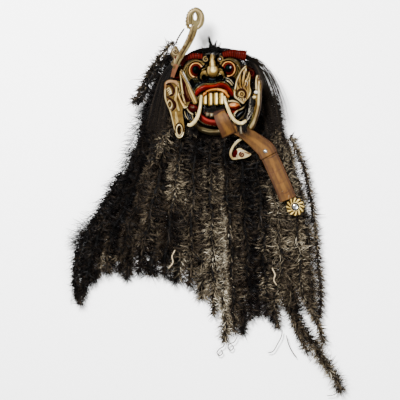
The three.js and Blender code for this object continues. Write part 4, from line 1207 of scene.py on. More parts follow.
# ---------- plates, straps and bars ----------
def net_plate(outline, pitch, thickness, draw, holes=(), bevel=1.2, colour=GOLD, gilt=0.5):
    """A flat plate over a net of points whose edge follows the outline, with a carved and painted top."""
    edge = closed(outline) if len(outline) < 60 else np.asarray(outline)
    low, high = edge.min(0) - pitch, edge.max(0) + 2 * pitch
    x, y = np.meshgrid(np.arange(low[0], high[0], pitch), np.arange(low[1], high[1], pitch))
    depth = inside_depth(x, y, edge)
    for hole in holes:
        depth = np.minimum(depth, -inside_depth(x, y, closed(hole)))
    kept = (depth[:-1, :-1] + depth[1:, :-1] + depth[:-1, 1:] + depth[1:, 1:]) > 0
    around = np.pad(kept, 1).astype(int)
    count = around[:-1, :-1] + around[1:, :-1] + around[:-1, 1:] + around[1:, 1:]
    slope_y, slope_x = np.gradient(depth, pitch)
    size = np.maximum(slope_x**2 + slope_y**2, 0.2)
    border = (count > 0) & (count < 4)
    x, y = x - border * depth * slope_x / size, y - border * depth * slope_y / size
    used = count > 0
    number = np.full(x.shape, -1)
    number[used] = np.arange(used.sum())
    fade = np.clip(np.where(border, 0, depth)[used] / bevel, 0, 1)
    top = thickness - bevel * (1 - np.sqrt(np.clip(1 - (1 - fade) ** 2, 0, 1)))
    sheet = Drawing(x[used], y[used], top, colour, gilt)
    draw(sheet)
    z = top + (sheet.z - top) * fade
    height = np.full(x.shape, thickness - bevel)
    height[used] = z
    shade_hollows_light_ridges(sheet, height, used, 1.5, 3)
    points = np.vstack([np.column_stack([sheet.x, sheet.y, z]),
                        np.column_stack([sheet.x, sheet.y, np.zeros(len(z))])])
    faces, edges, n = [], set(), len(z)
    for r, c in np.argwhere(kept):
        a, b, e, d = (int(v) for v in (number[r, c], number[r, c + 1], number[r + 1, c + 1],
                                       number[r + 1, c]))
        faces += [(a, b, e, d), (n + d, n + e, n + b, n + a)]
        edges.update(((a, b), (b, e), (e, d), (d, a)))
    faces += [(q, p, n + p, n + q) for p, q in sorted(edges) if (q, p) not in edges]
    return sheet, points, faces


def tilted(side, hinge, z, tilt):
    """Places a drawing beside the face: outwards is its x, and tilt lifts its outer edge."""
    def place(points):
        x, y, up = (side * points[:, 0], points[:, 1], points[:, 2])
        turn = -side * tilt
        return np.column_stack([x * math.cos(turn) + up * math.sin(turn) + side * hinge + FACE["x"], y,
                                -x * math.sin(turn) + up * math.cos(turn) + z])
    return place


def moved(x, y, z):
    """Places a drawing flat, that much to the right, up the mask and over the back plane."""
    return lambda points: points + [x, y, z]


def plate_mesh(name, place, outline, pitch, thickness, draw, flip=False, **more):
    sheet, points, faces = net_plate(outline, pitch, thickness, draw, **more)
    if flip:
        faces = [face[::-1] for face in faces]
    return coated(sheet.give(new_mesh(name, to_frame(place(points)), faces)), LACQUER)


def plate_piece(name, slot, node, *shape, **more):
    return new_piece(name, plate_mesh(name, *shape, **more), slot, node)


def path_frame(line, upward=(0, 0, 1)):
    """Directions along a line of points, to its side and up from it."""
    along = np.gradient(line, axis=0)
    along /= np.maximum(np.linalg.norm(along, axis=1), 1e-9)[:, None]
    side = np.cross(along, upward)
    side /= np.linalg.norm(side, axis=1)[:, None]
    return side, np.cross(side, along)


def tube_points(line, side, up, width, height, angle):
    """Rings of points round a line, with a half width and a half height for each ring."""
    across = side[:, None] * (width[:, None] * np.cos(angle))[..., None]
    rising = up[:, None] * (height[:, None] * np.sin(angle))[..., None]
    return (line[:, None] + across + rising).reshape(-1, 3)


def tube_faces(steps, sides, start=0):
    """Faces of a tube with closed ends, whose rings are numbered on from start."""
    faces = []
    for ring in range(start, start + steps * sides, sides):
        for i in range(sides):
            near, far = ring + i, ring + (i + 1) % sides
            faces.append((near, far, far + sides, near + sides))
    last = start + steps * sides
    return faces + [tuple(range(start, start + sides))[::-1], tuple(range(last, last + sides))]


def bar(path, half_width, half_height, sides=14, steps=60, end=0.06):
    """A bar along a path with rounded ends: its points, faces, and each point's place along and round it."""
    line = smooth(path, steps + 1)
    side, up = path_frame(line)
    t = np.linspace(0, 1, steps + 1)
    angle = np.linspace(0, TURN, sides, endpoint=False)
    close = np.sqrt(np.clip(1 - np.clip(1 - np.minimum(t, 1 - t) / end, 0, 1) ** 2, 0.02, 1))
    w = np.interp(t, np.linspace(0, 1, len(half_width)), half_width) * close
    h = np.interp(t, np.linspace(0, 1, len(half_height)), half_height) * close
    points = tube_points(line, side, -up, w, h, angle)
    return points, tube_faces(steps, sides), np.repeat(t, sides), np.tile(angle, steps + 1)


def cord(path, half, colour, steps=40):
    """A thin round cord of leather or bare hide along a path."""
    points, faces, _, _ = bar(np.asarray(path, float), (half, half), (half, half * 0.8), 8, steps, 0.1)
    mesh = write_paint(new_mesh("cord", to_frame(points), faces), deep(colour))
    mesh.materials.append(LEATHER)
    return mesh


def blend(first, second, share):
    """A colour for each share of the way from the first colour to the second."""
    return np.array(first) + (np.array(second) - np.array(first)) * np.asarray(share)[:, None]


# ---------- ears and ornaments ----------
LEFT_EAR = [(-8, 30), (9, 34), (27, 38), (44, 38), (54, 28), (55, 6), (53, -12), (48, -26), (41, -41),
            (35, -62), (29, -88), (24, -106), (14, -114), (4, -107), (0, -90), (2, -68), (5, -46), (2, -24),
            (-8, -14)]
RIGHT_EAR = [(46, 50), (51, 38), (58, 34), (61, 18), (58, 0), (57, -20), (53, -36), (45, -54), (34, -71),
             (21, -87), (8, -91), (-4, -84), (4, -76), (14, -64), (21, -54), (17, -44), (22, -37), (31, -33),
             (38, -22), (35, -14), (26, -14), (21, -7), (26, 1), (34, 5), (36, 14), (35, 26), (39, 38)]


def draw_left_ear(ear):
    ear.colour *= (0.62 + 0.38 * np.clip((-20 - ear.y) / 50, 0, 1))[:, None]
    ear.area([(-8, 30), (12, 34), (22, 22), (18, -6), (8, -24), (-8, -14)], (0.03, 0.006, 0.005), -1.5, 2)
    ear.line([(2, 26), (8, 8), (4, -10)], [1.5, 3, 1.5], 2, OLIVE, 0.5)
    ear.line([(15, 20), (24, 32), (38, 35), (49, 28), (52, 16)], [3, 4.6, 5, 4.2, 2.5], 3.6,
             (0.25, 0.16, 0.085), 0.3)
    ear.line([(22, 18), (21, 2), (24, -14), (16, -40)], [3, 4.0, 4, 3], 3.0, PALE_GOLD, 0.4)
    ear.line([(52, 14), (52, -6), (48, -24), (39, -44), (34, -66), (27, -96)], [2, 2.2, 2.4, 2.2, 2.2, 1.6],
             2.4, CREAM, 0.4)
    ear.line([(48, 26), (41, 27), (34, 22), (29, 11), (32, 0), (42, -4)], [2.0, 3.6, 3.6, 3.4, 3.0, 1.4],
             -2.6, (0.05, 0.018, 0.012))
    for k in range(4):
        ear.line([(48 - 2.5 * k, 13 - 4.5 * k), (42 - 1.5 * k, 17 - 4.5 * k), (37 - k, 12 - 3.2 * k)],
                 [1.0, 1.7, 0.9], 1.6, CREAM, 0.3)
        ear.line([(47 - 2.5 * k, 10 - 4.5 * k), (41 - 1.5 * k, 14 - 4.5 * k)], [0.7, 1.0], -1.0, BROWN)
    ear.line([(48, -5), (38, -12), (28, -21), (26, -32), (33, -42)], [1.6, 3.6, 4.2, 3.8, 1.8], -2.4,
             (0.05, 0.018, 0.012))
    ear.line([(44, -10), (36, -20), (33, -30), (37, -39)], [0.6, 1.0, 1.0, 0.6], 1.4, (0.12, 0.05, 0.03))
    ear.oval(40, -26, 5.8, 9.8, CREAM, 2.2, ring=2.0, gilt=0.3)
    ear.oval(40, -26, 3.2, 6.2, BROWN, 0, ring=1.4)
    ear.line([(28, -58), (22, -68), (17, -80)], [0.8, 1.7, 1.2], -0.8, BROWN)
    ear.line([(13, -66), (16, -74), (16, -80)], [0.6, 1.1, 0.8], -0.6, BROWN)
    ear.line([(24, -46), (22, -60), (20, -74)], [2.0, 4.5, 3.0], 0.8, PALE_GOLD, 0.3)
    ear.oval(14.7, -92, 10.4, 16.4, BROWN, -1.0, ring=2.8)
    ear.oval(14.7, -92, 7.4, 13.0, CREAM, 1.6, ring=2.2, gilt=0.3)
    ear.oval(14.7, -92, 5.0, 10.2, BROWN, -0.8, ring=2.0)
    ear.line([(24, -101), (18, -110), (9, -109), (3, -98)], [1.0, 1.8, 1.8, 1.0], 1.0, CREAM, 0.3)


def draw_right_ear(ear):
    ear.line([(45, 47), (42, 32), (43, 14)], [2.5, 4, 3], 2.6, CREAM, 0.3)
    ear.line([(57, 32), (54, 18), (55, 0), (53, -20), (50, -38), (42, -55), (30, -69), (14, -82)],
             [3, 4, 4, 4.6, 6, 7, 7, 6], 2.6, CREAM, 0.4)
    ear.line([(50, 40), (49, 20), (49, 0), (46, -18)], [0.8, 1.8, 2.2, 1.2], -1.8, BROWN)
    ear.line([(40, -38), (31, -54), (20, -68), (6, -80)], [3.0, 5.5, 6.0, 5.0], -0.8, (0.17, 0.14, 0.05), 0.3)
    ear.line([(24, -38), (24, -52), (14, -66), (2, -80)], [1.2, 1.8, 1.8, 1.2], 1.2, (0.40, 0.34, 0.17), 0.3)
    ear.line([(44, -30), (36, -46), (28, -58)], [0.8, 1.6, 0.8], -1.0, INK)
    ear.dome(42, 5, 8, 5, 5.0, 7, WHITE)
    ear.dome(33, -7.5, 9, 4.6, 5.0, 6, CREAM)
    ear.line([(36, 0), (44, -2), (50, -6)], [1.0, 1.6, 1.0], -2, INK)


def make_ears():
    hole = [(14.7 + 2.9 * math.cos(a), -92 + 7.6 * math.sin(a)) for a in np.linspace(0, 5.2, 6)]
    plate_piece("gilt_ear_left", "gilt_wood", "ear_left", tilted(-1, 75, 60, 0.2), LEFT_EAR, 1.0, 6.5,
                draw_left_ear, flip=True, holes=[hole], colour=GOLD, bevel=2.4)
    plate_piece("gilt_ear_right", "gilt_wood", "ear_right", tilted(1, 96, 60, 1.05), RIGHT_EAR, 1.0, 6.5,
                draw_right_ear, colour=GOLD, bevel=2.0)


LEFT_LEAF = [(80, -35), (88, -20), (94, -4), (92, 14), (96, 30), (88, 34), (90, 52), (89, 62), (82, 64),
             (66, 35), (50, 6), (42, -12), (42, -24), (52, -26), (60, -18), (70, -34)]
RIGHT_LEAF = [(88, 76), (76, 65), (68, 52), (61, 38), (57, 20), (53, 4), (57, -9), (67, -16), (80, -25),
              (88, -17), (99, -8), (103, 8), (99, 24), (101, 46), (97, 60), (92, 50), (91, 64)]


def draw_left_leaf(leaf):
    leaf.area([(86, 50), (80, 48), (70, 30), (60, 8), (52, -12), (60, -18), (74, -20), (82, -8), (80, 14)],
              (0.030, 0.005, 0.005), -1.2)
    band = [(87, 59), (80, 48), (69, 31), (59.5, 6), (51, -12), (47, -21)]
    for path in ([(88, 54), (86, 34), (83, 14), (80, 2)], [(94, 24), (92, 2), (86, -16), (78, -30)],
                 [(84, 8), (80, -8), (74, -24)]):
        leaf.line(path, [1.6, 3.0, 2.2], 3, GOLD, 0.6)
        leaf.line(beside(path, 3.2), [0.6, 1.6, 0.6], -1.4, INK)
        leaf.line(beside(path, -1.0), [0.5, 1.1, 0.5], 0.6, CREAM, 0.5)
    for path in ([(74, 22), (72, 8), (68, -8)], [(68, 10), (66, -4), (62, -14)]):
        leaf.line(path, [0.7, 1.3, 0.7], 1.4, (0.10, 0.05, 0.025))
    leaf.line(band, [2.4, 4.0, 5.2, 6.4, 7.0, 5.5], 4, GOLD, 0.6)
    leaf.line(beside(band, 3.4), [0.6, 1.3, 1.2, 0.6], 0.5, PALE_GOLD, 0.6)
    leaf.line(beside(band, -2.0), [0.5, 1.6, 2.6, 1.6], 0.4, PALE_GOLD, 0.5)
    leaf.line([(82, 58), (66, 32), (52, 8), (44, -8)], 1.3, 1.0, INK)
    leaf.line([(80, 58), (64.5, 32), (50.5, 8), (43, -8)], [0.8, 1.1, 1.1, 0.6], 1.8, WHITE)
    leaf.line([(97, 16), (91, -4), (84, -20), (76, -33)], [2.0, 4.6, 4.8, 3.4], 1.6, (0.60, 0.43, 0.17), 0.4)
    leaf.line([(92, 8), (86, -8), (80, -22)], [0.8, 1.6, 0.8], -1.2, BROWN)
    leaf.line([(82, -34), (74, -35), (68, -31)], [1.4, 1.8, 1.2], 2, CREAM, 0.4)


def draw_right_leaf(leaf):
    leaf.area([(74, 58), (80, 62), (80, 46), (77, 36), (72, 44)], BROWN, -2.2)
    leaf.area([(87, 62), (90, 56), (90, 42), (86, 38), (85, 50)], INK, -2.2)
    leaf.line([(86, 72), (75, 62), (67, 48), (61, 32), (58, 14)], [1.8, 2.6, 2.8, 2.4, 1.8], 3.0, CREAM, 0.5)
    leaf.line([(78, 62), (73, 50), (71, 38), (68, 26)], [1.0, 2.2, 2.4, 1.4], 2.0, GOLD, 0.6)
    leaf.line([(88, 68), (84, 54), (81, 42), (79, 28)], [1.2, 2.8, 3.2, 1.6], 2.6, PALE_GOLD, 0.5)
    leaf.line([(96, 57), (94, 46), (88, 34), (84, 22)], [1.2, 2.6, 3.0, 1.6], 2.6, PALE_GOLD, 0.5)
    for path in ([(66, 36), (68, 24), (72, 16)], [(76, 36), (76, 24), (80, 16)],
                 [(92, 34), (88, 22), (90, 12)], [(62, 22), (62, 10), (66, -4)]):
        leaf.line(path, [0.8, 2.0, 1.0], -1.4, BROWN)
    leaf.line([(98, 44), (97, 26), (100, 10), (96, -4), (86, -16)], [1.2, 2.2, 2.6, 2.2, 1.6], 2.2, PALE_GOLD,
              0.5)
    leaf.line([(57, 8), (57, -4), (66, -12), (79, -22)], [1.4, 2.6, 2.6, 2.4], 2.4, CREAM, 0.5)
    leaf.oval(75.5, 1, 11.8, 11.8, (0.05, 0.022, 0.010), -1.0, ring=3.6)
    leaf.dome(75.5, 1, 8.2, 8.2, 3.2, 3.4, GOLD, 0.6)
    leaf.oval(75.5, 1, 7.4, 7.4, PALE_GOLD, 1.2, ring=1.8, gilt=0.6)
    leaf.oval(75.5, 1, 4.0, 4.0, BROWN, -0.8, ring=1.0)
    for k in range(4):
        x = 68 + 6 * k
        leaf.line([(x, -9 - 2 * (k % 2)), (x + 2, -15)], [1.8, 0.8], 1.4, CREAM, 0.5)
        leaf.line([(x + 3, -9), (x + 3.5, -15)], [0.9, 0.5], -1.2, BROWN)


def make_side_ornaments():
    plate_piece("leaf_ornament_left", "gilt_hide", "side_ornament_left", tilted(-1, 0, 96, -0.27), LEFT_LEAF,
                1.0, 3.2, draw_left_leaf, flip=True, colour=OLIVE)
    plate_piece("leaf_ornament_right", "gilt_hide", "side_ornament_right", tilted(1, 0, 97, -0.3), RIGHT_LEAF,
                1.0, 3.4, draw_right_leaf, colour=(0.28, 0.195, 0.07))


def make_temple_flaps():
    edge = [(66, 40), (84, 39.5), (103, 40.5), (110, 50), (107, 66), (90, 74), (74, 74), (62, 68)]

    def draw(flap):
        flap.spiral(97, 57, 9, 1, -1.2, [2.6, 2, 1.2], 2.4, (0.050, 0.007, 0.006))
        flap.line([(66, 46), (84, 46), (100, 44)], [1, 2, 1], 1.5, (0.040, 0.006, 0.005))
        flap.line([(70, 70), (88, 70), (104, 63)], [1, 1.4, 1], 1.2, BROWN)

    for side, name in ((-1, "temple_flap_left"), (1, "temple_flap_right")):
        plate_piece("hide_" + name, "maroon_hide", name, tilted(side, 0, 55, 0), edge, 1.3, 2.6, draw,
                    flip=side < 0, colour=(0.018, 0.003, 0.003), gilt=0, bevel=0.9)


# ---------- brow bands and tusks ----------
def make_brow_band(name, spine, from_width, to_width):
    """A ribbed band of red hide over one eye, as wide at its ends as the two half widths say."""
    ribs, sides, steps, height = 11, 16, 110, 61
    path = [(x, y, height) for x, y in spine]
    points, faces, t, angle = bar(path, (from_width, to_width), (7, 7), sides, steps, 0.012)
    groove = np.abs(np.sin(t * ribs * math.pi)) ** 0.5
    line = np.repeat(smooth(path, steps + 1), sides, axis=0)
    points = line + (points - line) * (0.84 + 0.16 * groove)[:, None]
    # The grooves between the ribs are painted near black as painted shade, and the upper side of the ribs
    # gets a painted highlight.
    tone = np.clip(groove * 1.3 - 0.25, 0, 1)
    colour = blend((0.004, 0.001, 0.001), (0.065, 0.006, 0.005), tone)
    colour = blend(colour, (0.16, 0.026, 0.018), 0.5 * np.clip(-np.sin(angle) * tone, 0, 1))
    mesh = write_paint(new_mesh(name, to_frame(points), faces), deep(colour))
    new_piece("red_" + name, coated(mesh, LACQUER), "red_hide", name)


def bone_paint(sheet):
    """Old bone with long faint streaks and brown stains in patches."""
    place = sheet.node("ShaderNodeTexCoord", output="Object")
    streaks = sheet.noise(60, 4, sheet.node("ShaderNodeMapping", None, {"Vector": place,
                                                                        "Scale": (3, 0.6, 1)}))
    stain = sheet.noise(35, 3).step(0.5, 0.75)
    colour = sheet.ramp(streaks, [(0.25, (0.14, 0.09, 0.03)), (0.5, (0.28, 0.215, 0.09)),
                                  (0.75, (0.42, 0.35, 0.17))])
    colour = sheet.mix(stain * 0.6, colour, (0.09, 0.055, 0.02))
    return {"Base Color": colour, "Roughness": 0.3 + stain * 0.3, "Coat Weight": 0.3,
            "Normal": sheet.bump(streaks, 0.2, 0.001)}


BONE = new_material("old_bone", bone_paint)
TUSKS = {
    "tusk_left": [(-28, -2, 92), (-29.5, -22, 101), (-32, -40, 105), (-38, -59, 104), (-47, -73, 101),
                  (-57, -80, 98), (-63, -77, 95)],
    "tusk_right": [(31, -4, 93), (35, -20, 101), (41, -38, 104), (49, -56, 102), (61, -70, 98), (76, -75, 95),
                   (89, -67, 92)],
}


def make_tusk(name):
    points, faces, _, _ = bar(TUSKS[name], (3.6, 4.2, 4.8, 4.8, 4.2), (5.0, 5.6, 5.4, 4.6, 3.8), 18, 70, 0.05)
    mesh = coated(new_mesh(name, to_frame(points), faces), BONE)
    new_piece("bone_" + name, mesh, "bone", name)


# ---------- crest ----------
CREST = [(-103, 45, 63), (-98, 62, 72), (-89, 86, 84), (-79, 104, 87), (-67, 124, 88), (-54, 150, 88),
         (-45, 176, 88)]
CREST_GOLD = (0.175, 0.145, 0.078)
CREST_HEAD = {"x": -44, "y": 196, "z": 88, "half_width": 25, "half_length": 30}


def strap_mesh(material, path, half_width, thickness, draw, steps, colour, gilt=0.0, columns=16):
    """A strap of hide along a path, drawn flat with x across it and y along it, with a raised middle."""
    line = smooth(path, steps + 1)
    step = np.linalg.norm(np.diff(line, axis=0), axis=1)
    s = np.concatenate([[0], np.cumsum(step)])
    side, up = path_frame(line)
    w = np.interp(s / s[-1], np.linspace(0, 1, len(half_width)), half_width)
    a = np.sin(np.linspace(-math.pi / 2, math.pi / 2, columns + 1))
    x, y = w[:, None] * a[None, :], np.repeat(s[:, None], columns + 1, axis=1)
    edge = np.clip((w[:, None] - np.abs(x)) / 1.2, 0, 1)
    round_edge = thickness / 2 * (np.sqrt(1 - (1 - edge) ** 2))
    sheet = Drawing(x, y, round_edge, colour, gilt)
    draw(sheet, s[-1], w.max())
    top = sheet.z.reshape(x.shape)
    front = line[:, None] + side[:, None] * x[..., None] + up[:, None] * top[..., None]
    back = line[:, None] + side[:, None] * x[..., None] - up[:, None] * round_edge[..., None]
    inner = back[:, 1:-1]
    points = np.vstack([front.reshape(-1, 3), inner.reshape(-1, 3)])
    rows, n, m = steps + 1, columns + 1, columns - 1
    front_id = np.arange(rows * n).reshape(rows, n)
    back_id = np.column_stack([front_id[:, :1], rows * n + np.arange(rows * m).reshape(rows, m),
                               front_id[:, -1:]])
    faces = []
    for r in range(steps):
        for c in range(columns):
            faces.append((front_id[r, c], front_id[r, c + 1], front_id[r + 1, c + 1], front_id[r + 1, c]))
            faces.append((back_id[r, c], back_id[r + 1, c], back_id[r + 1, c + 1], back_id[r, c + 1]))
    for r, order in ((0, 1), (steps, -1)):
        ring = list(front_id[r][::-1]) + list(back_id[r][1:-1])
        faces.append(tuple(ring[::order]))
    mesh = new_mesh("strap", to_frame(points), [tuple(int(v) for v in face) for face in faces])
    return coated(sheet.give(mesh, np.array(colour) * 0.6), material)


def join(name, *meshes):
    """One mesh from several, with their attributes kept."""
    objects = []
    for mesh in meshes:
        made = bpy.data.objects.new("part_of_" + name, mesh)
        bpy.context.scene.collection.objects.link(made)
        objects.append(made)
    with bpy.context.temp_override(active_object=objects[0], selected_editable_objects=objects):
        bpy.ops.object.join()
    mesh = objects[0].data
    bpy.data.objects.remove(objects[0])
    return mesh


def make_crest_band():
    """The long gilt strap that stands up beside the crown, with its slotted round head."""
    def draw_strap(strap, length, width):
        strap.line([(0, 2), (1, length * 0.5), (0, length)], [1.0, 1.4, 1.0], -0.7, BROWN)
        strap.line([(-width * 0.55, 4), (-width * 0.6, length)], [0.8, 1.4], 0.6, (0.30, 0.24, 0.14), 0.4)
        strap.area([(-20, -5), (20, -5), (20, 22), (0, 40), (-20, 24)], (0.20, 0.10, 0.06))
        for y, x in ((30, -3), (62, 2), (88, -4), (112, 3)):
            strap.oval(x, y, 3.6, 5.5, (0.11, 0.075, 0.035))

    strap = strap_mesh(LACQUER, CREST, (5, 6.5, 8, 9, 10, 10), 2.6, draw_strap, 70, CREST_GOLD, 0.4)

    outline = []
    for k in range(72):
        angle = TURN * k / 72
        notch = 0.05 * (1 + math.sin(angle * 22)) if math.pi * 0.55 < angle < math.pi * 1.35 else 0
        lobe = 1 + 0.22 * math.exp(-((angle - 3.9) / 0.55) ** 2)
        outline.append((CREST_HEAD["half_width"] * lobe * (1 - notch) * math.cos(angle),
                        CREST_HEAD["half_length"] * lobe * (1 - notch) * math.sin(angle)))

    def draw_head(head):
        head.line([(-18, -12), (-16, 12), (0, 23), (16, 12), (14, -10), (8, -22)], [2, 3, 3, 3, 2.4], 1.6,
                  (0.28, 0.22, 0.12), 0.4)
        head.line([(-10, -14), (-9, 8), (0, 16), (8, 8), (7, -8)], [0.8, 1.2, 1.2, 0.8], -0.9, BROWN)
        head.line([(-20, -16), (-12, -20), (-4, -14)], [0.8, 1.4, 0.8], -0.8, BROWN)
        for k in range(9):
            angle = math.pi * (0.6 + 0.09 * k)
            x, y = 23 * math.cos(angle), 28 * math.sin(angle)
            head.line([(x, y), (x * 0.86, y * 0.86)], 0.7, -0.8, BROWN)

    slot = [(3.4, 0), (2.6, 9), (0, 15), (-3, 9), (-3.6, 0), (0, -4)]
    small = [(-9, -17), (-12, -15.5), (-15, -18), (-12, -21)]
    place = moved(CREST_HEAD["x"], CREST_HEAD["y"], CREST_HEAD["z"] - 1.3)
    head = plate_mesh("crest_head", place, outline, 1.0, 2.4, draw_head, holes=[slot, small], bevel=0.8,
                      colour=CREST_GOLD, gilt=0.4)
    new_piece("crest_band", join("crest_band", strap, head), "gilt_hide", "crest_strap")


def make_crest_cord():
    """Two dark strands twisted together along the cord's solid."""
    line = smooth(spine_of("crest_cord", 4.0)[:, :3], 40)
    turn = np.linspace(0, 7 * math.pi, len(line))
    cords = []
    for start in (0, math.pi):
        wound = line + 1.3 * np.column_stack([np.cos(turn + start), np.zeros(len(line)),
                                              np.sin(turn + start)])
        cords.append(cord(wound, 1.4, (0.05, 0.03, 0.02), 60))
    new_piece("twisted_crest_cord", join("twisted_crest_cord", *cords), "dark_hair", "crest_cord")


def make_crest_leaf():
    def draw_leaf(leaf):
        leaf.spiral(-95, 112, 9, -1, -1.0, [2.6, 2.0, 1.2], 2.0, (0.24, 0.19, 0.11), 0.4)
        leaf.spiral(-95, 112, 6, -1, -0.8, [0.8, 0.6], -0.8, BROWN)
        leaf.line([(-94, 74), (-97, 88), (-90, 100)], [2.6, 3.0, 1.6], 1.8, (0.24, 0.19, 0.11), 0.4)
        leaf.line([(-86, 78), (-90, 90), (-85, 104)], [0.6, 1.2, 0.7], -0.8, BROWN)
        leaf.line([(-103, 80), (-101, 92), (-106, 104)], [0.7, 1.4, 0.7], -0.8, BROWN)
        leaf.oval(-94, 95, 3, 4, (0.10, 0.02, 0.012), -0.8)

    edge = [(-82, 76), (-86, 92), (-84, 110), (-92, 126), (-103, 122), (-108, 106), (-102, 92), (-106, 78),
            (-95, 70)]
    plate_piece("gilt_crest_leaf", "gilt_hide", "crest_leaf", moved(0, 0, 69.5), edge, 0.9, 2.4, draw_leaf,
                colour=(0.13, 0.10, 0.058), bevel=0.8)


# ---------- tongue ----------
def leather_paint(sheet):
    """Tan leather with grain along it, dark rubbed places, fine creases and a soft gloss."""
    paint = sheet.node("ShaderNodeAttribute", {"attribute_name": "paint"}, None, "Color")
    broad = sheet.noise(22, 4)
    grain = sheet.noise(150, 4)
    place = sheet.node("ShaderNodeTexCoord", output="Object")
    streaks = sheet.noise(70, 3, sheet.node("ShaderNodeMapping", None, {"Vector": place,
                                                                        "Scale": (2.2, 0.5, 1)}))
    dark = sheet.mix(1.0, paint, (0.40, 0.30, 0.22), "MULTIPLY")
    colour = sheet.mix(broad.step(0.46, 0.72) * 0.6, paint, dark)
    colour = sheet.mix(streaks.step(0.45, 0.7) * 0.35, colour, dark)
    colour = sheet.mix(grain.step(0.35, 0.65) * 0.15, colour, sheet.mix(1.0, colour, (1.6, 1.5, 1.4),
                                                                        "MULTIPLY"))
    height = grain + streaks * 0.6
    return {"Base Color": colour, "Roughness": 0.5 + broad * 0.25, "Specular IOR Level": 0.1,
            "Normal": sheet.bump(height, 0.4, 0.0012)}


LEATHER = new_material("tan_leather", leather_paint)
TAN = (0.132, 0.068, 0.015)
SEAM = (0.02, 0.009, 0.005)
ROSETTE = {"radius": 24, "teeth": 12}


def node_middle(node):
    """Middle, lowest and highest corner of a solid's box, in the drawing."""
    low, high = (to_drawing([corner])[0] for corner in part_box(node))
    return (low + high) / 2, low, high


def draw_tongue(strap, length, width):
    for side in (-1, 1):
        strap.line([(side * width * 0.9, 0), (side * width * 0.9, length)], 1.4, 0.4, (0.10, 0.045, 0.012))
        strap.line([(side * width * 0.8, 0), (side * width * 0.8, length)], 0.6, -0.5, (0.06, 0.024, 0.008))
    strap.line([(-3, 0), (2, length * 0.4), (-2, length)], [6, 4, 7], 0.0, (0.195, 0.102, 0.024))
    for x, first, last in ((-9, 0.1, 0.6), (7, 0.35, 0.9), (11, 0.1, 0.5), (-12, 0.6, 1.0)):
        strap.line([(x, length * first), (x + 2, length * last)], [0.5, 1.2, 0.5], -0.4, (0.10, 0.043, 0.012))


def draw_tongue_root(strap, length, width):
    draw_tongue(strap, length, width)
    # The dark end where the tongue goes into the mouth and the darker right part are painted shade.
    strap.area([(-30, -9), (30, -9), (30, 8), (10, 12), (-10, 6), (-30, 9)], (0.05, 0.022, 0.010))
    strap.area([(30, 0), (30, 60), (12, 70), (10, 40), (15, 14)], (0.10, 0.045, 0.014))
    strap.line([(-width, length - 2), (width, length - 2)], 1.6, 0.2, (0.06, 0.026, 0.010))


def draw_tongue_tip(strap, length, width):
    draw_tongue(strap, length, width)
    strap.line([(-width - 2, 15), (0, 12), (width + 2, 16)], [1.2, 1.8, 1.4], -0.9, SEAM)
    strap.line([(-width, 22), (-4, 24), (8, 22)], [0.8, 1.2, 0.6], -0.5, (0.05, 0.02, 0.008))
    for y, reach in ((0.42, 0.9), (0.65, 0.6), (0.85, 0.8)):
        strap.line([(-width * reach, y * length), (0, y * length + 3), (width * reach, y * length - 1)],
                   [0.5, 0.8, 0.5], -0.4, (0.09, 0.036, 0.012))


TONGUE = (
    ("tongue_lower_strap", draw_tongue_tip, (22, 22.5, 22, 22), 80,
     [(141, -142, 55.6), (152, -166, 55.6), (165, -194, 55.6), (179, -226, 55.6), (191, -254, 55.6),
      (198, -272, 55.6)]),
    ("tongue_upper_strap", draw_tongue, (14, 15, 17, 20, 23, 24), 70,
     [(36, -84, 76), (56, -87, 77), (78, -96, 73), (100, -110, 66), (122, -127, 60.5), (139, -142, 59),
      (148, -158, 58.8)]),
    ("tongue_upper_strap", draw_tongue_root, (15, 18, 19, 20), 60,
     [(17, -42, 84), (21, -54, 93), (29, -72, 97), (38, -90, 91), (45, -105, 80)]),
)


def make_tongue():
    """The leather lengths of the tongue, joined to one piece for each solid."""
    made = {}
    for node, draw, width, steps, path in TONGUE:
        mesh = strap_mesh(LEATHER, path, width, 3.0, draw, steps, TAN, columns=20)
        made.setdefault(node, []).append(mesh)
    for node, meshes in made.items():
        new_piece("leather_" + node, join(node, *meshes), "tan_leather", node)


def make_rosette():
    """The toothed gilt disc at the tongue's tip, its round mirror and the small mirror stud above it."""
    middle, low, _ = node_middle("tongue_rosette")
    outline = []
    for k in range(120):
        angle = TURN * k / 120
        bite = 0.10 * (0.5 + 0.5 * math.cos(angle * ROSETTE["teeth"])) ** 0.6
        radius = ROSETTE["radius"] * (0.90 + bite)
        outline.append((radius * math.cos(angle), radius * math.sin(angle)))

    def draw(disc):
        disc.oval(0, 0, 10.6, 10.6, CREAM, 2.2, ring=2.0, gilt=0.5)
        disc.oval(0, 0, 13.5, 13.5, BROWN, -0.8, ring=1.0)
        for k in range(ROSETTE["teeth"]):
            angle = TURN * k / ROSETTE["teeth"]
            c, s = math.cos(angle), math.sin(angle)
            near, far = angle + 0.25, angle
            disc.line([(13 * math.cos(near), 13 * math.sin(near)), (22 * c, 22 * s)], [2.2, 1.6], 1.8,
                      (0.56, 0.43, 0.16), 0.6)
            near += math.pi / 12
            far += math.pi / 12
            disc.line([(14 * math.cos(near), 14 * math.sin(near)), (22 * math.cos(far), 22 * math.sin(far))],
                      [1.6, 1.2], -1.4, INK)
        disc.oval(0, 0, 8.4, 8.4, INK, -0.5, ring=2.0)

    place = moved(middle[0], middle[1], low[2])
    plate_piece("gilt_rosette", "gilt_hide", "tongue_rosette", place, outline, 0.8, 2.6, draw, bevel=0.8)
    make_boss("rosette_glass", "rosette_mirror", 7.6, [(0.0, 1.0), (0.5, 0.96), (0.85, 0.8), (1.0, 0.35),
                                                       (1.0, 0.0)])
    make_boss("stud_glass", "tongue_stud", 5.4, [(0.0, 1.0), (0.35, 0.95), (0.62, 0.72), (0.7, 0.4),
                                                 (1.0, 0.3), (1.0, 0)])


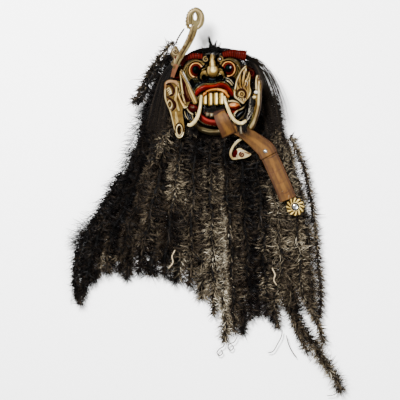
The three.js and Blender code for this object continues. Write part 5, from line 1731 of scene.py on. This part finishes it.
def mirror_paint(sheet):
    """Old glass with clouded spots."""
    clouding = sheet.noise(300, 3).step(0.45, 0.75)
    colour = sheet.mix(clouding, (0.86, 0.88, 0.90), (0.45, 0.42, 0.36))
    return {"Base Color": colour, "Metallic": 1.0, "Roughness": 0.06 + clouding * 0.3}


MIRROR = new_material("old_mirror", mirror_paint)


def make_boss(name, node, radius, profile):
    """A small round glass: a turned profile of radius and height shares over its own solid's box."""
    middle, low, high = node_middle(node)
    sides, points, faces = 28, [], []
    for r, h in profile:
        for k in range(sides):
            angle = TURN * k / sides
            r_now = max(r, 0.02) * radius
            points.append((middle[0] + r_now * math.cos(angle), middle[1] + r_now * math.sin(angle),
                           low[2] + h * (high[2] - low[2])))
    for ring in range(len(profile) - 1):
        for k in range(sides):
            a, b = ring * sides + k, ring * sides + (k + 1) % sides
            faces.append((a, a + sides, b + sides, b))
    faces += [tuple(range(sides)), tuple(range((len(profile) - 1) * sides, len(profile) * sides))[::-1]]
    new_piece(name, coated(new_mesh(name, to_frame(points), faces), MIRROR), "mirror_glass", node)


def make_gilt_leaf():
    """The pointed leaf below the tongue and the curled stem that it hangs by."""
    _, low, _ = node_middle("gilt_leaf")

    def draw_stem(strap, length, width):
        for side in (-1, 1):
            strap.line([(side * width, 0), (side * width, length)], 1.3, 0, INK)

    path = [(80, -112), (64, -123), (53, -138), (48, -153), (53, -165), (66, -165)]
    stem = strap_mesh(LACQUER, [(x, y, low[2] + 1) for x, y in path], (4.2, 3.8, 3.4, 3.0), 2.0, draw_stem,
                      50, CREAM, 0.3, 10)

    def draw(leaf):
        leaf.spiral(78, -155, 7, 1, 2.2, [2.0, 1.4], 1.0, (0.07, 0.009, 0.006))
        leaf.line([(84, -149), (94, -152), (98, -154)], [0.8, 1.4, 0.5], 0.6, (0.07, 0.009, 0.006))
        leaf.line([(62, -162), (70, -148), (82, -145)], 0.9, 0.5, WHITE)
        leaf.area([(50, -168), (52, -148), (62, -141), (67, -150), (63, -160), (66, -168)], DEEP_RED, -0.6)

    edge = [(55, -165), (55, -150), (63, -142), (73, -138.5), (84, -144), (95, -150), (102, -155), (90, -163),
            (70, -167)]
    blade = plate_mesh("gilt_blade", moved(0, 0, low[2]), edge, 0.8, 2.0, draw, bevel=0.7, colour=CREAM,
                       gilt=0.2)
    new_piece("curled_gilt_leaf", join("curled_gilt_leaf", stem, blade), "gilt_hide", "gilt_leaf")


# ---------- loose hair ----------
def strands(name, slot, paths, radius, tone, replaced=(), steps=8):
    """Fine hairs as tapered threads of three sides; tone is how light each one is."""
    sides = 3
    points, faces, u, v = [], [], [], []
    turn = np.linspace(TURN, 0, sides, endpoint=False)
    for path, light in zip(paths, tone):
        line = smooth(path, steps + 1)
        side, up = path_frame(line, (0.02, 0.01, 1))
        t = np.linspace(0, 1, steps + 1)
        r = radius * np.clip(1.05 - t**2, 0.12, 1)
        faces += tube_faces(steps, sides, len(points))
        points.extend(tube_points(line, side, up, r, r, turn))
        u.extend(np.tile([light - 0.004, light, light + 0.004], steps + 1))
        v.extend(np.repeat(0.25 + 0.7 * t, sides))
    mesh = new_mesh(name, to_frame(points), faces)
    layer = mesh.uv_layers.new(name=FUR_UV)
    corner = np.zeros(len(mesh.loops), int)
    mesh.loops.foreach_get("vertex_index", corner)
    uv = np.column_stack([np.clip(u, 0.01, 0.99), v])[corner]
    layer.data.foreach_set("uv", uv.astype(np.float32).ravel())
    mesh.materials.append(FUR)
    return new_piece(name, mesh, slot, *replaced)


def swept(first, last, count, wander, lift=0.0):
    """Hairs spread between two guide lines, each with a little wander of its own."""
    first, last = np.asarray(first, float), np.asarray(last, float)
    paths = []
    for share in np.sort(RNG.uniform(0, 1, count)):
        path = first + (last - first) * share
        grow = np.linspace(0.2, 1, len(path))[:, None]
        path = path + RNG.normal(0, wander, (1, 3)) * grow + RNG.normal(0, wander * 0.3, path.shape) * grow
        path[:, 2] += RNG.uniform(0, lift)
        paths.append(path)
    return paths


BEARD_TUFTS = (
    # node, the ends of its root line, and where along x its white hairs stand
    ("beard_tuft_left", (-57, -80, 70), (-39, -84, 72), (-50, -43)),
    ("beard_tuft_right", (64, -79, 94), (88, -78, 92), (73, 75, 87)),
)
CROWN_SPIKES = ((-10, 151, 66, 34), (-6, 134, 64, 10), (12, 140, 66, 26), (20, 126, 63, 14), (24, 136, 62, 8))


def make_beard_tufts():
    for name, left, right, white in BEARD_TUFTS:
        paths, tone = [], []
        for _ in range(110):
            start = np.array(left) + (np.array(right) - left) * RNG.uniform(0, 1) + RNG.normal(0, 0.8, 3)
            tip = start + (RNG.normal(1.5, 2.0), RNG.normal(-22, 2.5), RNG.normal(-3, 1))
            paths.append([start, (start + tip) / 2 + RNG.normal(0, 0.7, 3), tip])
            near = min(abs(start[0] - x) for x in white)
            tone.append(0.7 if near < 0.3 else RNG.uniform(0.02, 0.14))
        strands("hair_" + name, "dark_hair", paths, 0.9, tone, [name], 4)


def make_cheek_hair():
    """Black hair with a few white ones, hanging down between the right cheek and its ear."""
    paths, tone = [], []
    for _ in range(90):
        share = RNG.uniform(0, 1)
        x = 98 + 9 * share
        paths.append([(x, -6, 84), (x - 3 + RNG.normal(0, 1), -26, 90), (x - 1 + RNG.normal(0, 1.5), -42, 90),
                      (x - 9 - 3 * share + RNG.normal(0, 1.5), -60, 90), (x - 16 - 5 * share, -76, 90)])
        white = min(abs(share - 0.2), abs(share - 0.75)) < 0.025
        tone.append(0.88 if white else RNG.uniform(0.02, 0.22))
    strands("hair_cheek_right", "dark_hair", paths, 0.8, tone, (), 10)


def make_crown_tuft():
    paths = []
    for x, y, z, count in CROWN_SPIKES:
        for _ in range(count):
            start = np.array((2, 114, 63)) + RNG.normal(0, (4, 2, 2))
            tip = np.array((x, y, z)) + RNG.normal(0, 1.6, 3)
            paths.append([start, (start * 0.55 + tip * 0.45) + RNG.normal(0, 0.8, 3), tip])
    strands("hair_crown_tuft", "dark_hair", paths, 1.0, np.full(len(paths), 0.03), ["crown_tuft"], 4)


# ---------- the whole mask ----------
def main():
    add_camera()
    add_light("key_light", (-0.9, 1.5, 2.6), 0.8, 540)
    add_light("fill_light", (1.6, -0.6, 2.4), 1.6, 110)
    world = bpy.data.worlds.new("studio")
    bpy.context.scene.world = world
    world.use_nodes = True
    background = world.node_tree.nodes["Background"]
    background.inputs["Color"].default_value = (1, 1, 1, 1)
    background.inputs["Strength"].default_value = 0.34
    make_mane()
    make_face()
    make_ears()
    make_side_ornaments()
    make_temple_flaps()
    make_brow_band("brow_band_left", [(-84, 78), (-72, 93), (-50, 100), (-24, 99)], 9.5, 8)
    make_brow_band("brow_band_right", [(27, 103), (48, 107), (70, 105), (89, 101)], 7.5, 14.5)
    for name in TUSKS:
        make_tusk(name)
    make_crest_band()
    make_crest_cord()
    make_crest_leaf()
    make_tongue()
    make_rosette()
    make_gilt_leaf()
    make_beard_tufts()
    make_cheek_hair()
    make_crown_tuft()
    make_head_hair()
    make_fringe()


def add_floor():
    size = 6.0
    mesh = new_mesh("floor", [(-size, -size, 0), (size, -size, 0), (size, size, 0), (-size, size, 0)],
                    [(0, 1, 2, 3)])
    floor = bpy.data.objects.new("floor", mesh)
    bpy.context.scene.collection.objects.link(floor)
    floor.location.z = -0.0005
    white = new_material("pale_floor", lambda sheet: {
        "Base Color": (0.95, 0.95, 0.95, 1), "Roughness": 0.9})
    mesh.materials.append(white)


main()
add_floor()
